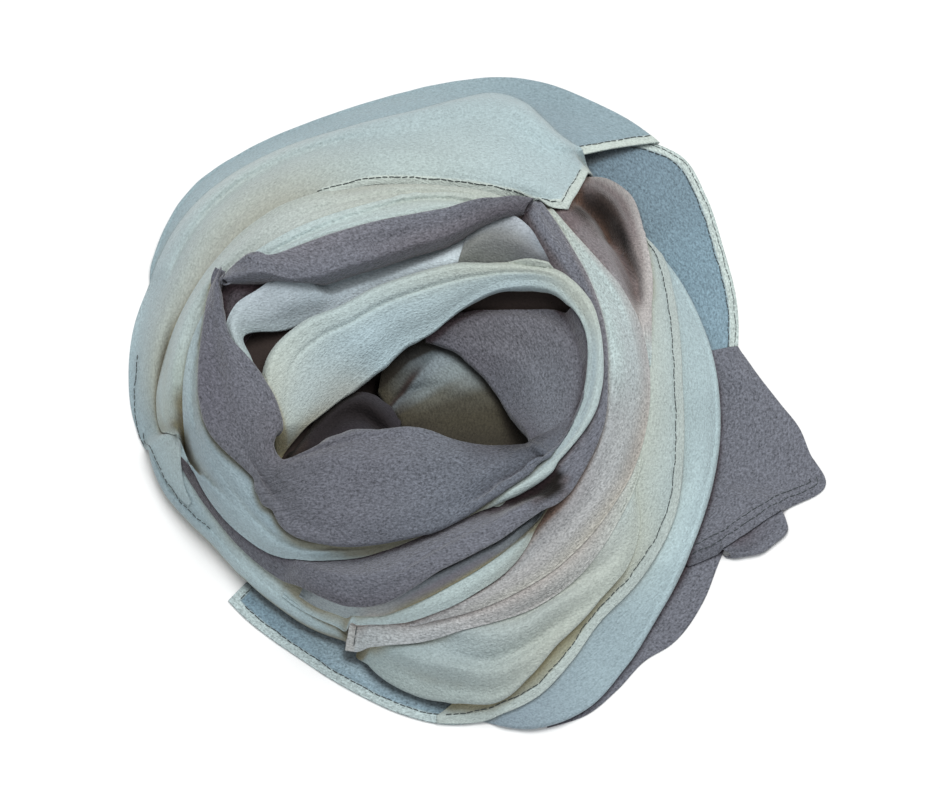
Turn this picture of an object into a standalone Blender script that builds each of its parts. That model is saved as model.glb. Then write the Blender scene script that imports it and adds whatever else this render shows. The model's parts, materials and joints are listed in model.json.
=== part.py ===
"""A chiffon scarf wound into a nest and laid on a flat surface, in metres with +Z up.

One long panel of crepe chiffon is coiled about two and a half turns round an open middle.
Each stretch of the coil that shows is a thin wall of cloth, and one rounded heap under them
stands for the layers that nothing shows. Sizes below are in millimetres. A clock angle is in
degrees about the nest's middle, 0 at the right (+X), 90 at the rear (+Y) and 270 at the front.
"""

import math

import bmesh
import bpy
import numpy as np
from mathutils import Vector
from mathutils.bvhtree import BVHTree

MM = 0.001
WALL = 2.0  # height of a cloth wall, measured straight up
GAP = 0.5  # air left between two walls that lie on each other
FLOOR = 0.0
ORIGIN_X, ORIGIN_Y = 30.9, 12.2  # middle of the scarf's box, seen from the nest's middle
PIT_FLOOR = 20.0  # height of the heap at the bottom of the nest's hollow
FOOT_RISE = 2.0  # height of the heap at its outer foot
LIP_DROP = 5.0  # how far the heap falls from its crest to the lip of the hollow
FLANK_BEND = 1.35  # above 1, the outer flank bulges
ROLL = 6.0  # width of the rounding at a folded edge
ROLL_DROP = 3.5  # how far a folded edge curls down
TUCK_DROP = 4.0  # how far an edge dips where it slides under its neighbour

MINT = (0.50, 0.62, 0.62, 1.0)
CREAM = (0.66, 0.69, 0.62, 1.0)
MAUVE = (0.21, 0.16, 0.19, 1.0)
SLATE = (0.30, 0.38, 0.42, 1.0)
ROSE = (0.52, 0.46, 0.46, 1.0)

# The heap: clock angle, radius of the hollow's lip, of the crest, of the foot and of the
# heap's own base, crest height
MOUND = [
    (0, 80, 90, 152, 136, 58),
    (20, 76, 88, 151, 136, 59),
    (45, 62, 80, 158, 138, 61),
    (65, 52, 72, 182, 150, 63),
    (90, 44, 68, 178, 150, 64),
    (110, 45, 70, 167, 146, 64),
    (135, 50, 76, 167, 144, 63),
    (150, 55, 80, 153, 134, 62),
    (180, 62, 84, 142, 124, 61),
    (210, 60, 78, 132, 116, 61),
    (225, 48, 66, 130, 114, 61),
    (245, 38, 54, 140, 115, 61),
    (270, 30, 48, 152, 123, 61),
    (290, 33, 50, 167, 131, 60),
    (310, 48, 64, 164, 134, 59),
    (330, 64, 78, 156, 134, 58),
]

# Each stretch: its rows go round the nest. Columns: clock angle, lean (how many degrees the
# outer end of the row is turned from the inner end), inner radius, outer radius, height of
# the inner and of the outer edge above the heap.
FLAP_BACK = [
    (60, 0, 152, 180, 0, 0),
    (51, 0, 147, 194, 0, 0),
    (47, 0, 144, 197, 0, 0),
    (40, 0, 140, 191, 0, 0),
    (31, 0, 140, 181, 0, 0),
    (22, 0, 140, 174, 0, 0),
    (10, 0, 140, 163, 0, 0),
]
FLAP_FRONT = [
    (226, 0, 118, 133, 0, 0),
    (232, 0, 117, 134.5, 0, 0),
    (239, 0, 118, 136, 0, 0),
    (246, 0, 118, 138.5, 0, 0),
    (253, 0, 120, 143, 0, 0),
    (260, 0, 122, 148.5, 0, 0),
    (268, 0, 126, 156, 0, 0),
    (276, 0, 130, 162, 0, 0),
    (284, 0, 134, 163, 0, 0),
]
TAIL_LOWER = [
    (-20, 0, 139, 168, 0, 0),
    (-27, 0, 139, 169, 0, 0),
    (-34, 0, 139, 172.5, 0, 0),
    (-43, 0, 140, 174, 0, 0),
    (-48, 0, 140, 171, 0, 0),
    (-55, 0, 144, 174.5, 0, 0),
    (-61, 0, 148, 177.5, 0, 0),
    (-68, 0, 152, 175.5, 0, 0),
]
TAIL_UPPER = [
    (14, 0, 138, 166.5, 0, 0),
    (8, 0, 138, 174, 0, 0),
    (3, 0, 138, 183, 0, 0),
    (-1, 0, 138, 192, 0, 0),
    (-5, 0, 138, 198, 0, 0),
    (-9.3, 0, 138, 207.5, 0, 0),
    (-14.3, 0, 138, 191, 0, 0),
    (-19, 0, 138, 179, 0, 0),
    (-24, 0, 138, 169.7, 0, 0),
    (-30, 0, 138, 157, 0, 0),
]
WRAP_BACK = [
    (61, -10, 154, 196, 2, 0),
    (67, -4, 148, 197.5, 2, 0),
    (75, 0, 144, 195.5, 2, 0),
    (85, 0, 143, 186.5, 2, 0),
    (95, 0, 143, 177, 2, 0),
    (105, 0, 146, 172.5, 2, 0),
    (120, 0, 149, 171, 2, 0),
    (132, 0, 149, 169.5, 2, 0),
    (142, 0, 147, 162.5, 2, 0),
    (152, 0, 143, 153.5, 2, 0),
]
SIDE_OUTER = [
    (39, 0, 139, 150, 1, 0),
    (30, 0, 130, 152, 1, 0),
    (15, 0, 124, 152.5, 1, 0),
    (0, 0, 121, 152.6, 1, 0),
    (-15, 0, 124, 153, 1, 0),
    (-30, 0, 128, 156, 1, 0),
    (-42, 0, 131, 161, 1, 0),
    (-52, 0, 136, 169, 1, 0),
    (-61, 0, 142, 176.5, 1, 0),
    (-70, 0, 148, 174.5, 1, 0),
    (-78, 0, 152, 165, 1, 0),
]
WRAP_LEFT = [
    (184, 0, 120, 134, 0, 0),
    (191, 0, 118, 133.5, 1, 0),
    (198, 0, 116, 131, 1, 0),
    (206, 0, 113, 126, 1, 0),
    (214, 0, 110, 121.8, 1, 0),
    (224, 0, 109, 121, 1, 0),
    (236, 0, 109, 122, 1, 0),
    (247, 0, 112, 124, 1, 0),
    (258, 0, 113, 124, 1, 0),
]
SIDE_HEM = [
    (39, 0, 145, 152, 2, 2),
    (34, 0, 136, 150.5, 2, 2),
    (26, 0, 126, 144, 2, 2),
    (15, 0, 114, 137, 2, 2),
    (3, 0, 111, 133.5, 2, 2),
    (-9, 0, 111, 135.5, 2, 2),
    (-26, 0, 112, 142.5, 2, 2),
    (-40, 0, 120, 144.8, 2, 2),
    (-52, 0, 126, 147, 2, 2),
    (-60, 0, 131, 154.6, 1, 2),
    (-68, 0, 136, 163, 0, 1),
    (-76, 0, 140, 164.5, 0, 0),
    (-81, 0, 142, 164.5, 0, 0),
]
FRONT_FOLDS = [
    (-26, 0, 114, 138.5, 2, 4),
    (-38, 0, 112, 142, 2, 4),
    (-50, 0, 110, 142.5, 2, 4),
    (-60, 0, 110, 147, 2, 4),
    (-68, 0, 110, 158, 2, 5),
    (-75, 0, 110, 161.5, 2, 5),
    (-82, 0, 110, 157, 2, 5),
    (-90, 0, 111, 150, 2, 5),
    (-97, 0, 113, 142, 2, 5),
    (-103, 0, 115, 132, 2, 5),
]
SIDE_ROSE = [
    (57, 0, 124, 146, 2, 2),
    (52.5, 0, 114, 161, 3, 6),
    (48, 0, 112, 163.5, 3, 7),
    (42, 0, 111, 155, 3, 7),
    (36, 0, 111, 146, 3, 7),
    (30, 0, 111, 139, 3, 7),
    (24, 0, 111, 132, 3, 7),
    (16, 0, 110, 125.5, 3, 6),
    (6, 0, 110, 120.5, 3, 4),
]
FRONT_ROSE = [
    (-18, 0, 110, 121, 3, 5),
    (-32, 0, 110, 124, 3, 5),
    (-48, 0, 108, 128, 3, 5),
    (-60, 0, 107, 129, 3, 5),
    (-74, 0, 107, 127.5, 3, 6),
    (-88, 0, 109, 129.5, 3, 6),
    (-98, 0, 112, 132, 3, 6),
    (-105, 0, 116, 133.5, 3, 7),
]
SIDE_MINT = [
    (57, 0, 112, 121.5, 5, 6),
    (48, 0, 106, 117.5, 5, 7),
    (38, 0, 100, 116.5, 5, 7),
    (25, 0, 94, 119, 5, 7),
    (10, 0, 91, 119.5, 5, 7),
    (-10, 0, 91, 119, 5, 7),
    (-30, 0, 92, 119, 5, 7),
    (-44, 0, 93, 120, 5, 7),
    (-56, 0, 98, 121, 5, 7),
    (-68, 0, 104, 121.5, 5, 7),
    (-80, 0, 108, 122.5, 5, 7),
    (-91, 0, 113, 124, 5, 7),
]
STRIP_MINT = [
    (-46, 0, 94, 101, 6, 8),
    (-60, 0, 95, 111, 6, 8),
    (-72, 0, 98, 118, 6, 8),
    (-84, 0, 103, 121.5, 6, 8),
    (-96, 0, 108, 124, 6, 8),
    (-106, 0, 111, 125.5, 6, 8),
    (-113, 0, 112, 124.5, 5, 7),
]
STRIP_CREAM = [
    (-50, 0, 92, 98, 7, 9),
    (-61, 0, 94, 107, 7, 9),
    (-72, 0, 95, 112, 7, 9),
    (-84, 0, 99, 117.5, 7, 9),
    (-96, 0, 105, 121.5, 7, 9),
    (-108, 0, 110, 120.7, 7, 9),
    (-119, 0, 112, 118.8, 6, 8),
]
RING_FRONT = [
    (58, 0, 98, 117.5, 8, 9),
    (50, 0, 90, 111.5, 8, 9),
    (40, 0, 88, 105.5, 7, 9),
    (28, 0, 87, 101.3, 7, 9),
    (14, 0, 87, 98.3, 7, 9),
    (0, 0, 87, 96.5, 7, 9),
    (-15, 0, 87, 98.3, 7, 9),
    (-30, 0, 83, 98, 7, 9),
    (-45, 0, 80, 97.5, 7, 9),
    (-60, 0, 76, 99.5, 7, 10),
    (-72, 0, 75, 101.5, 7, 10),
    (-82, 0, 77, 106, 7, 10),
    (-92, 0, 82, 112, 7, 10),
    (-105, 0, 91, 115.5, 6, 9),
    (-120, 0, 99, 117, 5, 8),
    (-135, 0, 105, 119.5, 4, 7),
    (-150, 0, 109, 121.5, 3, 6),
    (-160, 0, 113, 122.5, 3, 5),
    (-165, 0, 117, 124.5, 3, 4),
]
ROLL_OUTER = [
    (61, 0, 104, 111.5, 3, 3),
    (72, 0, 98, 109.5, 3, 3),
    (83, 0, 96, 107.5, 4, 3),
    (94, 0, 94, 108, 4, 3),
    (105, 0, 91, 111, 4, 3),
    (116, 0, 91, 114, 4, 3),
    (127, 0, 93, 118.5, 4, 3),
    (137, 0, 97, 122.5, 4, 3),
    (149, 0, 104, 127, 4, 4),
    (160, 0, 108, 130.5, 4, 5),
    (171, 0, 110, 131.5, 4, 6),
    (182, 0, 111, 133, 4, 7),
    (192, 0, 112, 132.5, 4, 7),
    (200, 0, 113, 129, 4, 6),
    (206, 0, 114, 122, 4, 5),
]
ROLL_INNER = [
    (62, 0, 96, 105, 5, 4),
    (77, 0, 86, 102, 6, 4),
    (90, 0, 77, 98.5, 6, 5),
    (110, 0, 76, 96, 6, 5),
    (132, 0, 84, 101.5, 6, 5),
    (146, 0, 100, 109, 6, 6),
    (158, 0, 104, 113, 6, 8),
    (168, 0, 104, 115.5, 6, 9),
    (180, 0, 103, 117.5, 6, 9),
    (191, 0, 102, 118.5, 6, 9),
    (202, 0, 96, 118.3, 6, 9),
    (213, 0, 93, 118, 6, 9),
    (222, 0, 94, 117, 6, 10),
    (231, 0, 96, 114, 6, 11),
    (239, 0, 94, 109.5, 6, 12),
    (248, 0, 88, 102, 6, 12),
    (258, 0, 84, 95.5, 6, 12),
    (268, 0, 82, 88.5, 6, 11),
]
WRAP_TOP = [
    (51.5, 4.5, 123, 160.5, 7, 3),
    (57, 3, 114.5, 164, 7, 3),
    (63, 1, 112, 166, 7, 3),
    (68, 0, 111, 172, 7, 3),
    (72, 0, 110, 179, 7, 3),
    (77, 0, 108.5, 181, 7, 3),
    (83, 0, 108, 172, 7, 3),
    (90, 0, 108, 162, 8, 4),
    (101, 0, 111, 157, 8, 4),
    (115, 0, 114, 158, 6, 4),
    (127, 0, 117, 158, 4, 3),
    (140, 0, 119, 157, 2, 2),
    (150, 0, 121, 153, 2, 1),
    (160, 0, 124, 150, 2, 0),
    (170, 0, 126, 145.5, 2, 0),
    (180, 0, 127, 140.5, 2, 0),
    (188, 0, 128, 136.5, 2, 0),
    (196, 0, 129, 134, 1, 0),
]
RING_REAR = [
    (148.5, 0, 109, 114.5, 9, 9),
    (145, 0, 93, 109, 9, 8),
    (140, 0, 76, 100, 9, 8),
    (132, 0, 65, 88, 9, 8),
    (120, 0, 60, 82, 8, 8),
    (105, 0, 58.5, 80, 8, 8),
    (90, 0, 60.5, 82, 8, 8),
    (80, 0, 64.5, 88, 8, 8),
    (70, 0, 76, 99, 8, 8),
    (63, 0, 90, 110, 8, 8),
    (57.5, 0, 102, 118.5, 8, 8),
]
BOWL = [
    (149, 0, 110, 115, 10, 10),
    (157, 0, 104, 114.5, 9, 10),
    (163, 0, 97, 111, 8, 10),
    (169, 0, 90, 109.5, 8, 10),
    (175, 0, 81.5, 108.7, 7, 10),
    (184, 0, 74, 108, 6, 10),
    (196, 0, 69.5, 104.5, 5, 10),
    (204, 0, 71, 101, 5, 10),
    (211, 0, 79, 98.5, 5, 10),
    (216, 0, 77, 98.5, 5, 11),
    (221, 0, 60, 99.2, 6, 12),
    (229, 0, 43, 101, 7, 14),
    (243, 0, 33, 97, 7, 13),
    (256, 0, 29, 91, 7, 11),
    (272, 0, 28.5, 87, 7, 10),
    (290, 0, 33, 83, 7, 9),
    (305, 0, 42, 82, 7, 7),
    (318, 0, 54, 83, 7, 6),
    (331, 0, 66, 84, 7, 6),
    (344, 0, 76, 86, 5, 5),
]

# The same columns, but the last two are heights above the floor: these line the hollow.
PIT_CREAM = [
    (78, 0, 4, 34, 22, 26),
    (40, 0, 4, 38, 22, 27),
    (0, 0, 4, 46, 22, 30),
    (-30, 0, 4, 56, 22, 33),
    (-60, 0, 4, 44, 22, 30),
    (-95, 0, 4, 32, 22, 26),
    (-130, 0, 4, 26, 22, 25),
]
PIT_CURL = [
    (211, 4, 70, 80, 44, 45),
    (203, 18, 56, 70, 42, 44),
    (197, 28, 49, 61, 40, 42),
    (186, 42, 37, 50, 37, 40),
    (177, 55, 28, 45, 36, 38),
    (180, 60, 18, 38, 35, 36),
    (212, 44, 12, 36, 33, 35),
    (245, 25, 14, 36, 31, 33),
]
PIT_MAUVE = [
    (80, 0, 30, 46, 27, 34),
    (63, 0, 30, 50, 27, 36),
    (40, 0, 31, 65, 29, 45),
    (24, 0, 33, 80, 31, 53),
    (2, 0, 39, 86, 34, 57),
    (-16, 0, 49, 85, 42, 58),
    (-26, 0, 61, 84, 54, 59),
]
CORNER = [
    (165, 0, 88, 102, 50, 56),
    (157, 0, 84, 107, 50, 57),
    (150, 0, 80, 110, 50, 58),
    (143, 0, 76, 99, 50, 57),
    (137, 0, 72, 88, 50, 56),
]
TAIL_CURL = [
    (-14.5, 0, 176, 189, 0, 0),
    (-16, 0, 174, 193, 0, 0),
    (-17.5, 0, 172, 195.5, 0, 0),
    (-20, 0, 170, 192, 0, 0),
    (-22.3, 0, 168, 187.8, 0, 0),
    (-24, 0, 167, 179, 0, 0),
    (-24.7, 0, 167, 173, 0, 0),
]
LAVENDER = [
    (178, 0, 74, 80, 55, 57),
    (171, 0, 80, 90, 53, 56),
    (164, 0, 86, 97, 51, 56),
    (158, 0, 76, 99, 49, 56),
    (150, 0, 69, 94, 48, 55),
    (140, 0, 63, 88, 47, 54),
    (127, 0, 57.5, 76, 46, 52),
    (108, 0, 56, 67, 46, 52),
    (90, 0, 58, 68, 47, 53),
    (78, 0, 61, 74, 49, 55),
    (68, 0, 66, 88, 51, 57),
]
GUSSET = [
    (71, 0, 62, 84, 52, 58),
    (62, 0, 66, 99, 53, 60),
    (54, 0, 72, 98, 54, 60),
    (46, 0, 80, 93, 55, 60),
    (40, 0, 84, 92, 56, 60),
]
RIM_CREAM = [
    (209, 0, 74, 79.5, 47, 58),
    (203, 0, 57, 77, 44, 60),
    (196, 0, 44, 75.5, 42, 61),
    (186, 0, 33, 74.5, 40, 62),
    (172, 0, 25, 72, 38, 63),
    (155, 0, 20, 62, 37, 64),
    (135, 0, 17.5, 52, 37, 64),
    (115, 0, 19, 50.5, 37, 64),
    (98, 0, 22, 52, 38, 64),
    (82, 0, 26, 57, 38, 64),
    (70, 0, 33, 63, 39, 64),
    (60, 0, 46, 69, 42, 64),
    (50, 0, 61, 77.5, 49, 64),
    (36, 0, 77, 89, 56, 65),
    (20, 0, 85, 94.5, 60, 66),
    (0, 0, 84, 93.7, 61, 67),
    (-17, 0, 81.5, 91.5, 61, 67),
    (-34, 0, 78, 86.2, 62, 67),
    (-54, 0, 76.5, 81.5, 64, 67),
    (-66, 0, 79, 81.8, 64, 65),
]

# Edges: "fold" curls down, "hem" lies flat, "tuck" slides under a neighbour, "floor" rests.
# In the order they lie, lowest first: name, rows, heights are, edges in and out, crown in the
# middle, quads along and across, colour.
STRETCHES = [
    ("flap_back", FLAP_BACK, "flat", ("hem", "hem"), 0, (12, 2), SLATE),
    ("flap_front", FLAP_FRONT, "flat", ("hem", "hem"), 0, (14, 2), SLATE),
    ("tail_lower", TAIL_LOWER, "flat", ("hem", "hem"), 0, (12, 2), MAUVE),
    ("tail_curl", TAIL_CURL, "floor", ("hem", "hem"), 3, (10, 3), MAUVE),
    ("tail_upper", TAIL_UPPER, "flat", ("hem", "hem"), 0, (18, 2), MAUVE),
    ("wrap_back", WRAP_BACK, "heap", ("tuck", "floor"), 0, (20, 3), MINT),
    ("side_outer", SIDE_OUTER, "heap", ("tuck", "floor"), 1, (26, 4), MINT),
    ("wrap_left", WRAP_LEFT, "heap", ("tuck", "floor"), 0, (16, 3), MINT),
    ("side_hem", SIDE_HEM, "heap", ("tuck", "hem"), 0, (26, 3), CREAM),
    ("front_folds", FRONT_FOLDS, "heap", ("tuck", "fold"), 1, (20, 4), CREAM),
    ("side_rose", SIDE_ROSE, "heap", ("tuck", "fold"), 1, (14, 4), ROSE),
    ("front_rose", FRONT_ROSE, "heap", ("tuck", "fold"), 1, (18, 4), ROSE),
    ("side_mint", SIDE_MINT, "heap", ("tuck", "fold"), 2, (30, 4), MINT),
    ("strip_mint", STRIP_MINT, "heap", ("tuck", "fold"), 1, (16, 3), MINT),
    ("strip_cream", STRIP_CREAM, "heap", ("tuck", "fold"), 1, (16, 3), CREAM),
    ("ring_front", RING_FRONT, "heap", ("tuck", "fold"), 1, (44, 3), MAUVE),
    ("wrap_top", WRAP_TOP, "heap", ("hem", "floor"), 2, (32, 5), MINT),
    ("roll_outer", ROLL_OUTER, "heap", ("tuck", "fold"), 4, (24, 4), CREAM),
    ("roll_inner", ROLL_INNER, "heap", ("tuck", "fold"), 3, (36, 4), MINT),
    ("pit_cream", PIT_CREAM, "floor", ("hem", "tuck"), 0, (12, 2), CREAM),
    ("pit_curl", PIT_CURL, "floor", ("fold", "tuck"), 3, (8, 3), MAUVE),
    ("pit_mauve", PIT_MAUVE, "floor", ("fold", "tuck"), 2, (14, 4), MAUVE),
    ("corner_inner", CORNER, "floor", ("hem", "hem"), 0, (6, 2), MAUVE),
    ("lavender", LAVENDER, "floor", ("fold", "tuck"), 1, (18, 3), ROSE),
    ("gusset", GUSSET, "floor", ("tuck", "tuck"), 0, (6, 2), ROSE),
    ("ring_rear", RING_REAR, "heap", ("fold", "fold"), 2, (18, 4), MAUVE),
    ("rim_cream", RIM_CREAM, "floor", ("hem", "fold"), 1, (40, 4), CREAM),
    ("bowl", BOWL, "heap", ("fold", "fold"), 2, (34, 5), MAUVE),
]

HEAP_TURNS = 56  # points round the heap
HEAP_RINGS = 13  # rings from the middle of the hollow to the foot
SAG = 1.5  # how far a ring of the heap may stand above the middle of its neighbours
HEAP_START = 7.0  # height given to the heap before it is pressed down under the cloth


def clear_scene():
    for item in list(bpy.data.objects):
        bpy.data.objects.remove(item, do_unlink=True)


def hermite(knots, values, places):
    """A smooth curve through rows of values, read at the given places."""
    slopes = np.gradient(values, knots, axis=0)
    index = np.clip(np.searchsorted(knots, places, side="right") - 1, 0, len(knots) - 2)
    step = (knots[index + 1] - knots[index])[:, None]
    u = (places - knots[index])[:, None] / step
    start = values[index] * (2 * u**3 - 3 * u**2 + 1) + slopes[index] * step * (u**3 - 2 * u**2 + u)
    end = values[index + 1] * (3 * u**2 - 2 * u**3) + slopes[index + 1] * step * (u**3 - u**2)
    return start + end


def heap_height(turn, radius):
    """Height of the heap at clock angles in degrees and radii: a hollow, a crest and a flank."""
    table = np.array(MOUND, float)
    knots = np.concatenate([table[-3:, 0] - 360, table[:, 0], table[:3, 0] + 360])
    rows = np.concatenate([table[-3:, 1:], table[:, 1:], table[:3, 1:]])
    read = hermite(knots, rows, np.mod(turn, 360).ravel()).reshape(turn.shape + (5,))
    lip, crest, foot, _, top = np.moveaxis(read, -1, 0)
    inward = np.clip((crest - radius) / (crest - lip), 0, 1)
    drop = np.clip((lip - radius) / (0.65 * lip), 0, 1)
    drop = drop * drop * (3 - 2 * drop)
    hollow = top - LIP_DROP * inward**2 - (top - LIP_DROP - PIT_FLOOR) * drop
    outward = np.clip((radius - crest) / (foot - crest), 0, 1)
    flank = FOOT_RISE + (top - FOOT_RISE) * (1 - outward**FLANK_BEND)
    return np.where(radius < crest, hollow, flank)


def edge_drop(kind, distance):
    """How far the cloth falls near an edge of this kind, at distances from that edge."""
    near = np.clip(1 - distance / ROLL, 0, 1)
    if kind == "fold":
        return ROLL_DROP * (1 - np.sqrt(1 - near**2))
    if kind == "tuck":
        return TUCK_DROP * near**2
    return np.zeros_like(distance)


def stretch_grid(rows, measured_from, edges, crown, along, across):
    """The underside of one stretch: an (along + 1) by (across + 1) grid of points."""
    table = np.array(rows, float)
    turn = np.radians(table[:, 0] + table[:, 1])
    steps = np.hypot(np.diff(table[:, 3] * np.cos(turn)), np.diff(table[:, 3] * np.sin(turn)))
    knots = np.concatenate([[0], np.cumsum(steps)])
    if measured_from == "flat":
        places = np.interp(np.linspace(0, len(rows) - 1, along + 1), range(len(rows)), knots)
        read = np.stack([np.interp(places, knots, column) for column in table.T], axis=1)
    else:
        read = hermite(knots, table, np.linspace(0, knots[-1], along + 1))
    degrees, lean, inner, outer, low, high = (column[:, None] for column in read.T)
    s = 0.5 - 0.5 * np.cos(np.pi * np.arange(across + 1) / across)[None, :]
    radius = inner + (outer - inner) * s
    degrees = degrees + lean * s
    width = outer - inner
    height = low + (high - low) * s + crown * 4 * s * (1 - s)
    height -= edge_drop(edges[0], width * s) + edge_drop(edges[1], width * (1 - s))
    if measured_from == "heap":
        height += heap_height(degrees, radius)
    if edges[1] == "floor":
        height[:, -1] = FLOOR
        height[:, -2] = np.minimum(height[:, -2], 0.6 * height[:, -3] + 2)
    height = np.maximum(height, FLOOR)
    turn = np.radians(degrees)
    return np.stack([radius * np.cos(turn), radius * np.sin(turn), height], axis=-1)


def grid_faces(rows, columns):
    start = np.arange(rows * columns).reshape(rows, columns)
    quads = np.stack([start[:-1, :-1], start[1:, :-1], start[1:, 1:], start[:-1, 1:]], axis=-1)
    return quads.reshape(-1, 4).tolist()


def wall_mesh(grid, height=WALL, drop=0.0):
    """A closed, triangulated wall: the grid, raised straight up by the wall's height."""
    points = grid.reshape(-1, 3) - (0, 0, drop)
    shape = bmesh.new()
    corners = [shape.verts.new(point) for point in points]
    for quad in grid_faces(*grid.shape[:2]):
        shape.faces.new([corners[index] for index in quad])
    copied = bmesh.ops.extrude_face_region(shape, geom=list(shape.faces))
    raised = [item for item in copied["geom"] if isinstance(item, bmesh.types.BMVert)]
    bmesh.ops.translate(shape, vec=(0, 0, height + drop), verts=raised)
    bmesh.ops.recalc_face_normals(shape, faces=list(shape.faces))
    bmesh.ops.triangulate(shape, faces=list(shape.faces))
    shape.verts.index_update()
    return shape


class Heaped:
    """What has been laid so far, as one soup of triangles that rays can meet."""

    def __init__(self):
        self.points = []
        self.faces = []

    def add(self, shape):
        first = len(self.points)
        self.points += [vert.co.copy() for vert in shape.verts]
        self.faces += [[first + vert.index for vert in face.verts] for face in shape.faces]

    def tree(self):
        return BVHTree.FromPolygons(self.points, self.faces)


def samples(grid, count=4):
    """Points spread over each quad of the grid, with their weights on the quad's corners."""
    corners = np.stack([grid[:-1, :-1], grid[1:, :-1], grid[1:, 1:], grid[:-1, 1:]], axis=2)
    for u in np.linspace(0, 1, count + 1):
        for v in np.linspace(0, 1, count + 1):
            weights = np.array([(1 - u) * (1 - v), u * (1 - v), u * v, (1 - u) * v])
            yield np.einsum("ijkc,k->ijc", corners, weights)


def spread_to_corners(shape, change):
    """The largest change that any quad asks of each grid point."""
    full = np.zeros(shape)
    for rows in (slice(0, -1), slice(1, None)):
        for columns in (slice(0, -1), slice(1, None)):
            full[rows, columns] = np.maximum(full[rows, columns], change)
    return full


def settle(grid, tree, direction):
    """Move the grid up (+1) until it lies on what is under it, or down (-1) under what is over it."""
    far = Vector((0, 0, direction * 400))
    ray = Vector((0, 0, -direction))
    for _ in range(3):
        change = np.zeros((grid.shape[0] - 1, grid.shape[1] - 1))
        for layer in samples(grid):
            for i, j in np.ndindex(change.shape):
                x, y, z = layer[i, j]
                hit = tree.ray_cast(Vector((x, y, 0)) + far, ray)[0]
                if hit is not None:
                    change[i, j] = max(change[i, j], direction * (hit.z - z) + GAP)
        grid[:, :, 2] += direction * spread_to_corners(grid.shape[:2], change)
    return grid


def part_walls(grid, tree):
    """Raise the points of any face that still meets another wall."""
    count = grid.shape[0] * grid.shape[1]
    for _ in range(40):
        shape = wall_mesh(grid, drop=0.6 * GAP)
        meeting = BVHTree.FromBMesh(shape).overlap(tree)
        if not meeting:
            shape.free()
            return grid
        shape.faces.ensure_lookup_table()
        touched = {vert.index % count for pair in meeting for vert in shape.faces[pair[0]].verts}
        shape.free()
        rows, columns = np.unravel_index(sorted(touched), grid.shape[:2])
        grid[rows, columns, 2] += GAP
    return grid


def plain_material(name, colour):
    material = bpy.data.materials.new(name)
    material.use_nodes = True
    shader = material.node_tree.nodes["Principled BSDF"]
    shader.inputs["Base Color"].default_value = colour
    shader.inputs["Roughness"].default_value = 0.85
    shader.inputs["Metallic"].default_value = 0.0
    return material


def add_object(name, mesh, colour, collection):
    mesh.materials.append(plain_material(name, colour))
    mesh.shade_smooth()
    item = bpy.data.objects.new(name, mesh)
    collection.objects.link(item)
    return item


def add_shape(name, shape, colour, collection):
    """Turn a shape in millimetres about the nest's middle into an object in metres."""
    bmesh.ops.translate(shape, vec=(-ORIGIN_X, -ORIGIN_Y, 0), verts=list(shape.verts))
    bmesh.ops.scale(shape, vec=(MM, MM, MM), verts=list(shape.verts))
    mesh = bpy.data.meshes.new(name)
    shape.to_mesh(mesh)
    shape.free()
    return add_object(name, mesh, colour, collection)


def lay_stretches(collection):
    """Lay each stretch of cloth on those before it and return them all."""
    heaped = Heaped()
    for name, rows, measured_from, edges, crown, (along, across), colour in STRETCHES:
        grid = stretch_grid(rows, measured_from, edges, crown, along, across)
        if heaped.faces:
            tree = heaped.tree()
            grid = settle(grid, tree, 1)
            grid = part_walls(grid, tree)
        shape = wall_mesh(grid)
        heaped.add(shape)
        add_shape(name, shape, colour, collection)
    return heaped


def heap_grid():
    """Top of the heap: rings round the nest from the hollow's middle to just inside the foot."""
    turn = np.linspace(0, 360, HEAP_TURNS, endpoint=False)[:, None]
    table = np.array(MOUND, float)
    base = np.interp(turn, table[:, 0], table[:, 4], period=360)
    s = np.linspace(0.04, 1, HEAP_RINGS)[None, :]
    radius = base * s
    turn = turn + 0 * s
    height = heap_height(turn, radius) + HEAP_START * (1 - s)
    angle = np.radians(turn)
    grid = np.stack([radius * np.cos(angle), radius * np.sin(angle), height], axis=-1)
    return np.concatenate([grid, grid[:1]], axis=0)


def heap_shape(grid):
    """The closed heap under a top grid: a flat base on the floor and a flat middle."""
    turns, rings = HEAP_TURNS, grid.shape[1]
    shape = bmesh.new()
    top = [[shape.verts.new(grid[i, j]) for j in range(rings)] for i in range(turns)]
    base = [shape.verts.new((grid[i, -1, 0], grid[i, -1, 1], FLOOR)) for i in range(turns)]
    middle = shape.verts.new((0, 0, grid[:-1, 0, 2].min()))
    centre = shape.verts.new((0, 0, FLOOR))
    for i in range(turns):
        k = (i + 1) % turns
        for j in range(rings - 1):
            shape.faces.new([top[i][j], top[i][j + 1], top[k][j + 1], top[k][j]])
        shape.faces.new([top[i][-1], base[i], base[k], top[k][-1]])
        shape.faces.new([middle, top[i][0], top[k][0]])
        shape.faces.new([centre, base[k], base[i]])
    bmesh.ops.recalc_face_normals(shape, faces=list(shape.faces))
    bmesh.ops.triangulate(shape, faces=list(shape.faces))
    shape.verts.index_update()
    return shape


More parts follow.
